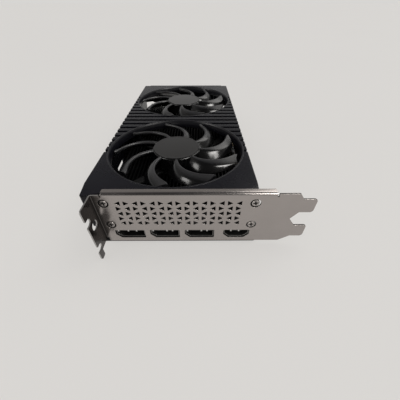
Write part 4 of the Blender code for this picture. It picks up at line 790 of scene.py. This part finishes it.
def rib_outlines():
    """Raised strips of the roof, between the grooves and round the fan openings."""
    middle = (FRONT + END) / 2
    grooves = [middle + (index - (GROOVES - 1) / 2) * RIB_PITCH for index in range(GROOVES)]
    front_y, rear_y = FANS["front"][0], FANS["rear"][0]
    first = grooves[0] - GROOVE / 2
    last = grooves[-1] + GROOVE / 2
    outlines = [
        rounded([(LEFT, FRONT, 1.2), (RIGHT, FRONT, 1.2)]
                + [(RIGHT, first, 0)] + [(x, y, 0) for x, y in cap(first, front_y, -1)]
                + [(LEFT, first, 0)]),
        rounded([(RIGHT, STEP_END, 1.2), (RIGHT - STEP_WIDTH, STEP_END, 0), (RIGHT - STEP_WIDTH, END, 0.4),
                 (LEFT + STEP_WIDTH, END, 0.4), (LEFT + STEP_WIDTH, STEP_END, 0), (LEFT, STEP_END, 1.2),
                 (LEFT, last, 0)]
                + [(x, y, 0) for x, y in reversed(cap(last, rear_y, 1))] + [(RIGHT, last, 0)]),
    ]
    for before, after in zip(grooves, grooves[1:]):
        low = before + GROOVE / 2
        high = after - GROOVE / 2
        centre_y = front_y if (low + high) / 2 < middle else rear_y
        inside = [abs(y - centre_y) < RIB_CUT - 0.3 for y in (low, high)]
        if all(inside):
            outlines.append([(LEFT, low)] + arc(low, high, centre_y, -1) + [(LEFT, high)])
            outlines.append([(RIGHT, high)] + arc(low, high, centre_y, 1)[::-1] + [(RIGHT, low)])
        elif inside[0]:
            outlines.append([(RIGHT, high), (LEFT, high), (LEFT, low)]
                            + cap(low, centre_y, 1)[::-1] + [(RIGHT, low)])
        elif inside[1]:
            outlines.append([(LEFT, low), (RIGHT, low), (RIGHT, high)]
                            + cap(high, centre_y, -1) + [(LEFT, high)])
        else:
            outlines.append([(LEFT, low), (RIGHT, low), (RIGHT, high), (LEFT, high)])
    return outlines


def roof_outline(inset):
    """Plan of the shroud with a step at each tail corner."""
    left, right, front = LEFT + inset, RIGHT - inset, FRONT + inset
    end, step = END - inset, STEP_END - inset
    return rounded([(left, front, 1.2), (right, front, 1.2), (right, step, 1.2),
                    (right - STEP_WIDTH, step, 0), (right - STEP_WIDTH, end, 0), (left + STEP_WIDTH, end, 0),
                    (left + STEP_WIDTH, step, 0), (left, step, 1.2)])


def roof_parts():
    """Roof plate, its raised strips and a collar round each fan opening."""
    openings = [circle(FAN_X, y, RIB_CUT, 96) for y, _ in FANS.values()]
    parts = [solid([roof_outline(0.1)] + openings, ROOF_LOW, FLOOR, 0.08)]
    parts += [solid([outline], FLOOR - 0.3, TOP, 0.28, rounds=2) for outline in rib_outlines()]
    profile = rounded([(OPENING - 0.6, COLLAR_LOW, 0.15), (COLLAR, COLLAR_LOW, 0.2),
                       (COLLAR, COLLAR_TOP, 0.25), (OPENING + 0.3, COLLAR_TOP, 0.3),
                       (OPENING - 0.2, 37.6, 1.0), (OPENING - 0.6, 35.5, 1.0)], 4)
    for y, _ in FANS.values():
        collar = lathe(profile, 120, (FAN_X, y), closed=True)
        for face in collar.polygons:
            face.material_index = 1
        parts.append(collar)
    return parts


def wall_parts():
    """Side walls, tail wall with its stepped corners, and the cheeks beside the bracket."""
    start = FRONT + 1
    left_side = [(start, CHEEK_LOW), (CHEEK_BACK, CHEEK_LOW), (CHEEK_BACK, LEFT_WALL_LOW),
                 (LEFT_WALL_LOW_END, LEFT_WALL_LOW), (LEFT_WALL_LOW_END, WALL_LOW),
                 (CORNER_NOTCH_START, WALL_LOW), (CORNER_NOTCH_START, CORNER_NOTCH_TOP),
                 (STEP_END, CORNER_NOTCH_TOP), (STEP_END, WALL_TOP), (start, WALL_TOP)]
    right_side = [(start, CHEEK_LOW), (CHEEK_BACK, CHEEK_LOW), (CHEEK_BACK, WALL_LOW), (STEP_END, WALL_LOW),
                  (STEP_END, WALL_TOP), (start, WALL_TOP)]
    tail_left, tail_right = LEFT + STEP_WIDTH, RIGHT - STEP_WIDTH
    notch = LEFT + CORNER_NOTCH_WIDTH
    tail = [(tail_left, CORNER_NOTCH_TOP), (notch, CORNER_NOTCH_TOP), (notch, WALL_LOW),
            (tail_right, WALL_LOW), (tail_right, WALL_TOP), (tail_left, WALL_TOP)]
    parts = [
        solid([left_side, rectangle(*SIDE_SLOT, 0.6)], LEFT, LEFT + WALL, 0.2, "YZ", 2),
        solid([right_side], RIGHT - WALL, RIGHT, 0.2, "YZ", 2),
        solid([tail], END - WALL, END, 0.2, "XZ", 2),
    ]
    for x0, x1, low in (
        (LEFT + 0.5, tail_left + WALL, CORNER_NOTCH_TOP),
        (tail_right - WALL, RIGHT - 0.5, WALL_LOW),
    ):
        corner = rectangle(x0, STEP_END - WALL, x1, STEP_END - SET_BACK, 0)
        parts.append(solid([corner], low, WALL_TOP, 0.1))
    for x0, x1 in ((LEFT + SET_BACK, LEFT_CHEEK_END), (RIGHT_CHEEK_START, RIGHT - SET_BACK)):
        parts.append(solid([rectangle(x0, FRONT, x1, CHEEK_BACK, 1.2)], CHEEK_LOW, WALL_TOP, 0.25))
    return parts


def fixing_parts():
    """Bosses and posts for the screws, and stakes for the arms of the fans."""
    parts = []
    for x, z in SCREW_PLACES.values():
        parts.append(solid([circle(x, z, BOSS), circle(x, z, SCREW_BORE)], BOSS_FRONT, BOSS_BACK, 0.1, "XZ"))
    for x, y in POSTS:
        parts.append(solid([circle(x, y, POST), circle(x, y, SCREW_BORE)], POST_LOW, WALL_TOP, 0.2))
    for fan_y, _ in FANS.values():
        for arm in range(ARMS):
            turn = 2 * math.pi * (arm + 0.5) / ARMS
            x, y = FAN_X + STAKE_REACH * math.cos(turn), fan_y + STAKE_REACH * math.sin(turn)
            parts.append(solid([circle(x, y, STAKE, 24)], STAKE_LOW, WALL_TOP, 0.2))
            parts.append(solid([circle(x, y, PEG, 16)], PEG_LOW, PEG_TOP, 0.1))
    return parts


def make_shroud():
    """Ribbed cover with collars, walls, cheeks, posts and stakes, whose front corners slope down."""
    work = bmesh.new()
    work.from_mesh(merged(roof_parts() + wall_parts() + fixing_parts(), "shroud"))
    for corner, way in ((LEFT, 1), (RIGHT, -1)):
        normal = Vector((way, 1, 0)).normalized()
        crease = Vector((corner + way * FACET_RUN, FRONT, 0))
        everything = work.verts[:] + work.edges[:] + work.faces[:]
        bmesh.ops.bisect_plane(work, geom=everything, dist=WELD, plane_co=crease, plane_no=normal)
        for vert in work.verts:
            beyond = (crease - Vector((vert.co.x, vert.co.y, 0))).dot(normal)
            if beyond > 0 and vert.co.z > FACET_LOW:
                drop = FACET_DROP * beyond / (FACET_RUN / math.sqrt(2))
                if vert.co.z > FLOOR + 0.2:
                    vert.co.z -= drop
                vert.co.z = min(vert.co.z, TOP - drop)
    place("shroud_cover", to_mesh(work, "shroud"), "card", SHROUD, ["fan_shroud"], 32,
          (BELL,))


# Fans
def blade_spine(run, back, share):
    """Middle line of a blade's section: a gentle slope behind the nose that bends down to the tail."""
    drop = (BLADE_TOP - BLADE_LOW - 2 * BLADE_NOSE) * (1 - TIP_LIFT * share ** 2)
    flat = FLAT_ROOT + (FLAT_TIP - FLAT_ROOT) * share
    marks = [flat * step / CREST_STEPS for step in range(CREST_STEPS)]
    marks += [flat + (1 - flat) * step / FACE_STEPS for step in range(FACE_STEPS + 1)]
    depths = [0.0]
    for near, far in zip(marks, marks[1:]):
        past = (near + far) / 2 - flat
        bend = min(max(past / BLADE_TURN, 0.0), 1.0)
        slope = BLADE_SLOPE + (1 - BLADE_SLOPE) * bend + BLADE_CURVE * max(past, 0.0)
        depths.append(depths[-1] + slope * (far - near))
    points = []
    for mark, depth in zip(marks, depths):
        along = BLADE_NOSE + back + (run - back) * mark
        points.append(Vector((along, BLADE_TOP - BLADE_NOSE - drop * depth / depths[-1])))
    return points


def blade_section(run, back, share):
    """Outline across a blade: from the tail over the crest, round the nose and back along the underside."""
    spine = blade_spine(run - BLADE_NOSE - BLADE_TAIL, back, share)
    upper = []
    lower = []
    for index, point in enumerate(spine):
        ahead = spine[min(index + 1, len(spine) - 1)]
        behind = spine[max(index - 1, 0)]
        along = (ahead - behind).normalized()
        across = Vector((-along.y, along.x))
        half = BLADE_NOSE + (BLADE_TAIL - BLADE_NOSE) * (point.x - spine[0].x) / (spine[-1].x - spine[0].x)
        upper.append(point + across * half)
        lower.append(point - across * half)
    first = (spine[1] - spine[0]).normalized()
    side = Vector((-first.y, first.x))
    front = []
    for step in range(1, NOSE_STEPS):
        turn = math.pi * step / NOSE_STEPS
        front.append(spine[0] + BLADE_NOSE * (side * math.cos(turn) - first * math.sin(turn)))
    return upper[::-1] + front + lower


def crest_share(index):
    """How far a point of a blade's section belongs to the crest, painted paler as a sheen, which fades out on
    both sides.
    """
    before = FACE_STEPS + CREST_FADE - index
    after = index - (FACE_STEPS + CREST_STEPS + NOSE_STEPS - 2)
    return max(0.0, 1 - max(before, after, 0) / CREST_FADE)


def blade_mesh(phase):
    """Swept blades with a rounded leading edge along the top."""
    work = bmesh.new()
    # Marks the crest, where the finish paints a paler sheen.
    crest = work.verts.layers.float.new("crest")
    root = HUB - HUB_OVERLAP
    for blade in range(BLADES):
        turn = math.radians(phase + 360 * blade / BLADES)
        loops = []
        for station in range(STATIONS + 1):
            share = station / STATIONS
            radius = root + (TIP - root) * share
            advance = math.radians(LEAD_ADVANCE) * share ** 4
            lead = turn - math.radians(SWEEP) * (1 - share ** SWEEP_POWER) + advance
            run = (math.radians(CHORD_ROOT + (CHORD_TIP - CHORD_ROOT) * share) + advance) * radius
            beyond = max(0.0, (share - TIP_START) / (1 - TIP_START))
            back = TIP_ROUND * (1 - math.sqrt(1 - min(beyond, TIP_END) ** 2))
            loop = []
            for index, (along, height) in enumerate(blade_section(run, back, share)):
                angle = lead - along / radius
                vert = work.verts.new((radius * math.cos(angle), radius * math.sin(angle), height))
                vert[crest] = crest_share(index)
                loop.append(vert)
            loops.append(loop)
        for first, second in zip(loops, loops[1:]):
            for index in range(len(first)):
                after = (index + 1) % len(first)
                work.faces.new((first[index], first[after], second[after], second[index]))
        work.faces.new(loops[0])
        work.faces.new(loops[-1])
    return to_mesh(work, "blades")


def make_fans():
    """Rotors and hub discs."""
    hub = rounded(HUB_PROFILE, 4)
    for side, (y, phase) in FANS.items():
        body = side + "_fan"
        rotor = merged([blade_mesh(phase), lathe(hub, 96)], "rotor")
        rotor.transform(Matrix.Translation((FAN_X, y, 0)))
        place("rotor_" + side, rotor, body, ROTOR, ["fan_rotor_" + side], 50)
        face = lathe(DISC_PROFILE, 96, (FAN_X, y))
        place("hub_disc_" + side, face, body, DISC, ["fan_label_" + side])


# Board details
def make_slot_contacts():
    """Strips on both faces of the slot edge, in two groups beside the key notch."""
    strips = []
    for index in range(SLOT_CONTACTS):
        if index < SLOT_CONTACTS_SHORT:
            y = SLOT_SHORT_START + index
        else:
            y = SLOT_LONG_START + (index - SLOT_CONTACTS_SHORT)
        start = SLOT_CONTACT_LATE_START if index % 11 == 5 else SLOT_CONTACT_START
        strip = rectangle(start, y - SLOT_CONTACT_HALF, SLOT_CONTACT_END, y + SLOT_CONTACT_HALF, 0.12)
        strips += [solid([strip], low, high, 0.02) for low, high in SLOT_CONTACT_LEVELS]
    place("slot_contacts", merged(strips, "contacts"), "card", GOLD)


def make_capacitors():
    """Cans with square feet along the slot side of the board."""
    cans = []
    feet = []
    for y in CAPACITORS:
        foot = rectangle(CAPACITOR_X - CAPACITOR_HALF, y - CAPACITOR_HALF,
                         CAPACITOR_X + CAPACITOR_HALF, y + CAPACITOR_HALF, 0.9)
        feet.append(solid([foot], 5.25, 6.3, 0.15))
        cans.append(lathe(CAN_PROFILE, 32, (CAPACITOR_X, y)))
    place("capacitor_cans", merged(cans, "cans"), "card", RESIN)
    place("capacitor_feet", merged(feet, "feet"), "card", PLASTIC)


def is_free(x, y):
    """Whether a small part at this spot keeps clear of the larger pieces on the board."""
    near_can = x > 84.5 and any(abs(y - spot) < 4.4 for spot in CAPACITORS)
    near_post = any(math.hypot(x - px, y - py) < 5.0 for px, py in KEPT_CLEAR)
    near_header = x > 82.0 and (61 < y < 75 or 133 < y < 147)
    near_socket = x < 11 and y > 145
    near_processor = 3 < x < 80 and (52 < y < 128 or 135 < y < 149)
    return not (near_can or near_post or near_header or near_socket or near_processor)


def make_small_parts():
    """Small two-ended parts strewn over the free areas of the board."""
    draw = random.Random(7)
    bodies = []
    ends = []
    for _ in range(SMALL_PARTS):
        x = draw.choice((draw.uniform(-3.0, 0.2), draw.uniform(92.3, 93.6), draw.uniform(3.0, 80.0)))
        y = draw.uniform(24.0, 168.0)
        if not is_free(x, y):
            continue
        long, wide, tall = draw.choice(SMALL_PART_SIZES)
        turned = draw.random() < 0.5
        for offset, share, store in ((0.0, 0.5, bodies), (-0.375, 0.25, ends), (0.375, 0.25, ends)):
            grow = END_GROWTH if store is ends else 0.0
            half_long, half_wide = long * share / 2, wide / 2 + grow
            if turned:
                block = rectangle(x - half_wide, y + offset * long - half_long,
                                  x + half_wide, y + offset * long + half_long)
            else:
                block = rectangle(x + offset * long - half_long, y - half_wide,
                                  x + offset * long + half_long, y + half_wide)
            store.append(solid([block], SMALL_PART_LOW, SMALL_PART_LOW + tall + grow, 0.06))
    place("small_parts", merged(bodies, "bodies"), "card", CERAMIC)
    place("small_part_ends", merged(ends, "ends"), "card", TIN)


def make_pins():
    """Pins of the power socket and of the fan headers."""
    pins = []
    for row in range(2):
        for column in range(4):
            y = POWER_Y + (column - 1.5) * POWER_PITCH
            z = POWER_LOW + (row + 0.5) * POWER_PITCH
            outline = rounded([(-1.4, z - 0.25, 0.1), (-0.6, z - 0.55, 0.1), (6.2, z - 0.55, 0),
                               (6.2, z + 0.55, 0), (-0.6, z + 0.55, 0.1), (-1.4, z + 0.25, 0.1)], 2)
            pin = solid([outline], -0.55, 0.55, 0.1, "XZ")
            pin.transform(Matrix.Translation((0, y, 0)))
            pins.append(pin)
    place("power_pins", merged(pins, "pins"), "card", TIN)
    for side, middle in HEADERS.items():
        pins = []
        for index in range(4):
            pins.append(lathe(HEADER_PIN, 12, (HEADER_X, middle + (index - 1.5) * HEADER_PITCH)))
        place("header_pins_" + side, merged(pins, "pins"), "card", TIN)


make_bracket()
make_screws()
make_ports()
make_shroud()
make_fans()
make_slot_contacts()
make_capacitors()
make_small_parts()
make_pins()

# Finishes of the pieces that are shown as packed
LOOKS = {
    "circuit_board": MASK, "gpu_substrate": MASK, "gpu_die": SILICON, "cold_plate": COPPER,
    "heatsink_fins": FIN, "power_socket": PLASTIC, "backplate": PLATE_BLACK, "clamp_plate": STEEL,
}
STARTS = {
    "memory_chip": RESIN, "choke": FERRITE, "heat_pipe": COPPER, "displayport": PLASTIC, "hdmi": PLASTIC,
    "fan_header": PLASTIC, "fan_frame": FRAME, "fan_stator": WINDING, "fan_magnet": FERRITE,
    "fan_bearing": BRONZE, "fan_shaft": STEEL,
}
for name, item in nodes.items():
    look = LOOKS.get(name)
    for start, candidate in STARTS.items():
        if name.startswith(start):
            look = candidate
    if look is not None:
        item.data.materials.clear()
        item.data.materials.append(look)


# Table and room
def make_table():
    """Pale table: seen directly or mirrored it mostly glows evenly, and the rest of it takes the shadow."""
    table = bpy.data.materials.new("table_white")
    table.use_nodes = True
    tree = table.node_tree
    shader = tree.nodes["Principled BSDF"]
    shader.inputs["Roughness"].default_value = 0.55
    shader.inputs["Specular IOR Level"].default_value = 0.2
    coords = tree.nodes.new("ShaderNodeTexCoord")
    clouds = tree.nodes.new("ShaderNodeTexNoise")
    clouds.inputs["Scale"].default_value = 3.0
    tree.links.new(coords.outputs["Object"], clouds.inputs["Vector"])
    tone = tree.nodes.new("ShaderNodeMix")
    tone.data_type = "RGBA"
    tone.inputs["A"].default_value = TABLE_DARK
    tone.inputs["B"].default_value = TABLE_LIGHT
    tree.links.new(clouds.outputs["Fac"], tone.inputs["Factor"])
    tree.links.new(tone.outputs["Result"], shader.inputs["Base Color"])
    glow = tree.nodes.new("ShaderNodeEmission")
    glow.inputs["Color"].default_value = TABLE_GLOW
    rays = tree.nodes.new("ShaderNodeLightPath").outputs
    seen = worked(tree, "MAXIMUM", rays["Is Camera Ray"], rays["Is Glossy Ray"])
    seen = worked(tree, "MAXIMUM", seen, rays["Is Transmission Ray"])
    mixer = tree.nodes.new("ShaderNodeMixShader")
    tree.links.new(worked(tree, "MULTIPLY", seen, TABLE_GLOW_SHARE), mixer.inputs["Fac"])
    tree.links.new(shader.outputs["BSDF"], mixer.inputs[1])
    tree.links.new(glow.outputs["Emission"], mixer.inputs[2])
    tree.links.new(mixer.outputs["Shader"], tree.nodes["Material Output"].inputs["Surface"])
    bpy.ops.mesh.primitive_plane_add(size=TABLE_SIZE, location=(0, 0, -TABLE_DROP))
    floor = bpy.context.object
    floor.name = "table"
    floor.data.materials.append(table)


def make_room():
    """Pale walls under a darker ceiling, dimmed behind the camera except at the horizon."""
    world = bpy.data.worlds.new("room")
    scene.world = world
    world.use_nodes = True
    tree = world.node_tree
    way = tree.nodes.new("ShaderNodeTexCoord")
    split = tree.nodes.new("ShaderNodeSeparateXYZ")
    tree.links.new(way.outputs["Generated"], split.inputs["Vector"])
    heights = tree.nodes.new("ShaderNodeValToRGB")
    tree.links.new(split.outputs["Z"], heights.inputs["Fac"])
    stops = heights.color_ramp.elements
    while len(stops) < len(SKY):
        stops.new(0.5)
    for stop, (height, colour) in zip(stops, SKY):
        stop.position = height
        stop.color = (*colour, 1.0)
    least = ranged(tree, split.outputs["Z"], DIM_HEIGHTS, (1.0, DIM_LEAST))
    share = ranged(tree, split.outputs["Y"], DIM_DEPTHS, (least, 1.0))
    sky = tree.nodes["Background"]
    sky.inputs["Strength"].default_value = 1.0
    tree.links.new(scaled(tree, heights.outputs["Color"], share), sky.inputs["Color"])


def lamp(name, towards, spread, power, mirrored=True, spread_out=True):
    """Distant lamp that lights the whole table evenly, or is only mirrored, or only lights."""
    data = bpy.data.lights.new(name, "SUN")
    data.angle = math.radians(spread)
    data.energy = power
    data.color = LAMP_COLOUR
    item = bpy.data.objects.new(name, data)
    item.rotation_euler = Vector(towards).to_track_quat("Z", "Y").to_euler()
    item.visible_glossy = mirrored
    item.visible_diffuse = spread_out
    scene.collection.objects.link(item)


make_table()
make_room()
lamp("room_fill", (0.0, -0.15, 1.0), 110.0, 1.9, mirrored=False)
lamp("panel", (0.52, 0.45, 0.73), 42.0, 0.9)
for pane, towards in enumerate(WINDOW_PANES):
    lamp("window_pane_%d" % pane, towards, 17.0, 0.62, spread_out=False)
lamp("left_window", (-0.80, -0.42, 0.40), 24.0, 0.8, spread_out=False)

# Camera, placed as the photo's view was solved from the bracket
camera = bpy.data.objects.new("camera", bpy.data.cameras.new("camera"))
camera.data.lens = 19.863
camera.data.sensor_width = 36.0
camera.location = (0.0007, -0.1832, 0.1140)
camera.rotation_euler = (math.radians(48.1), 0.0, math.radians(-0.25))
camera.data.clip_start = 0.005
scene.collection.objects.link(camera)
scene.camera = camera

scene.view_settings.view_transform = "Standard"
bpy.context.view_layer.update()
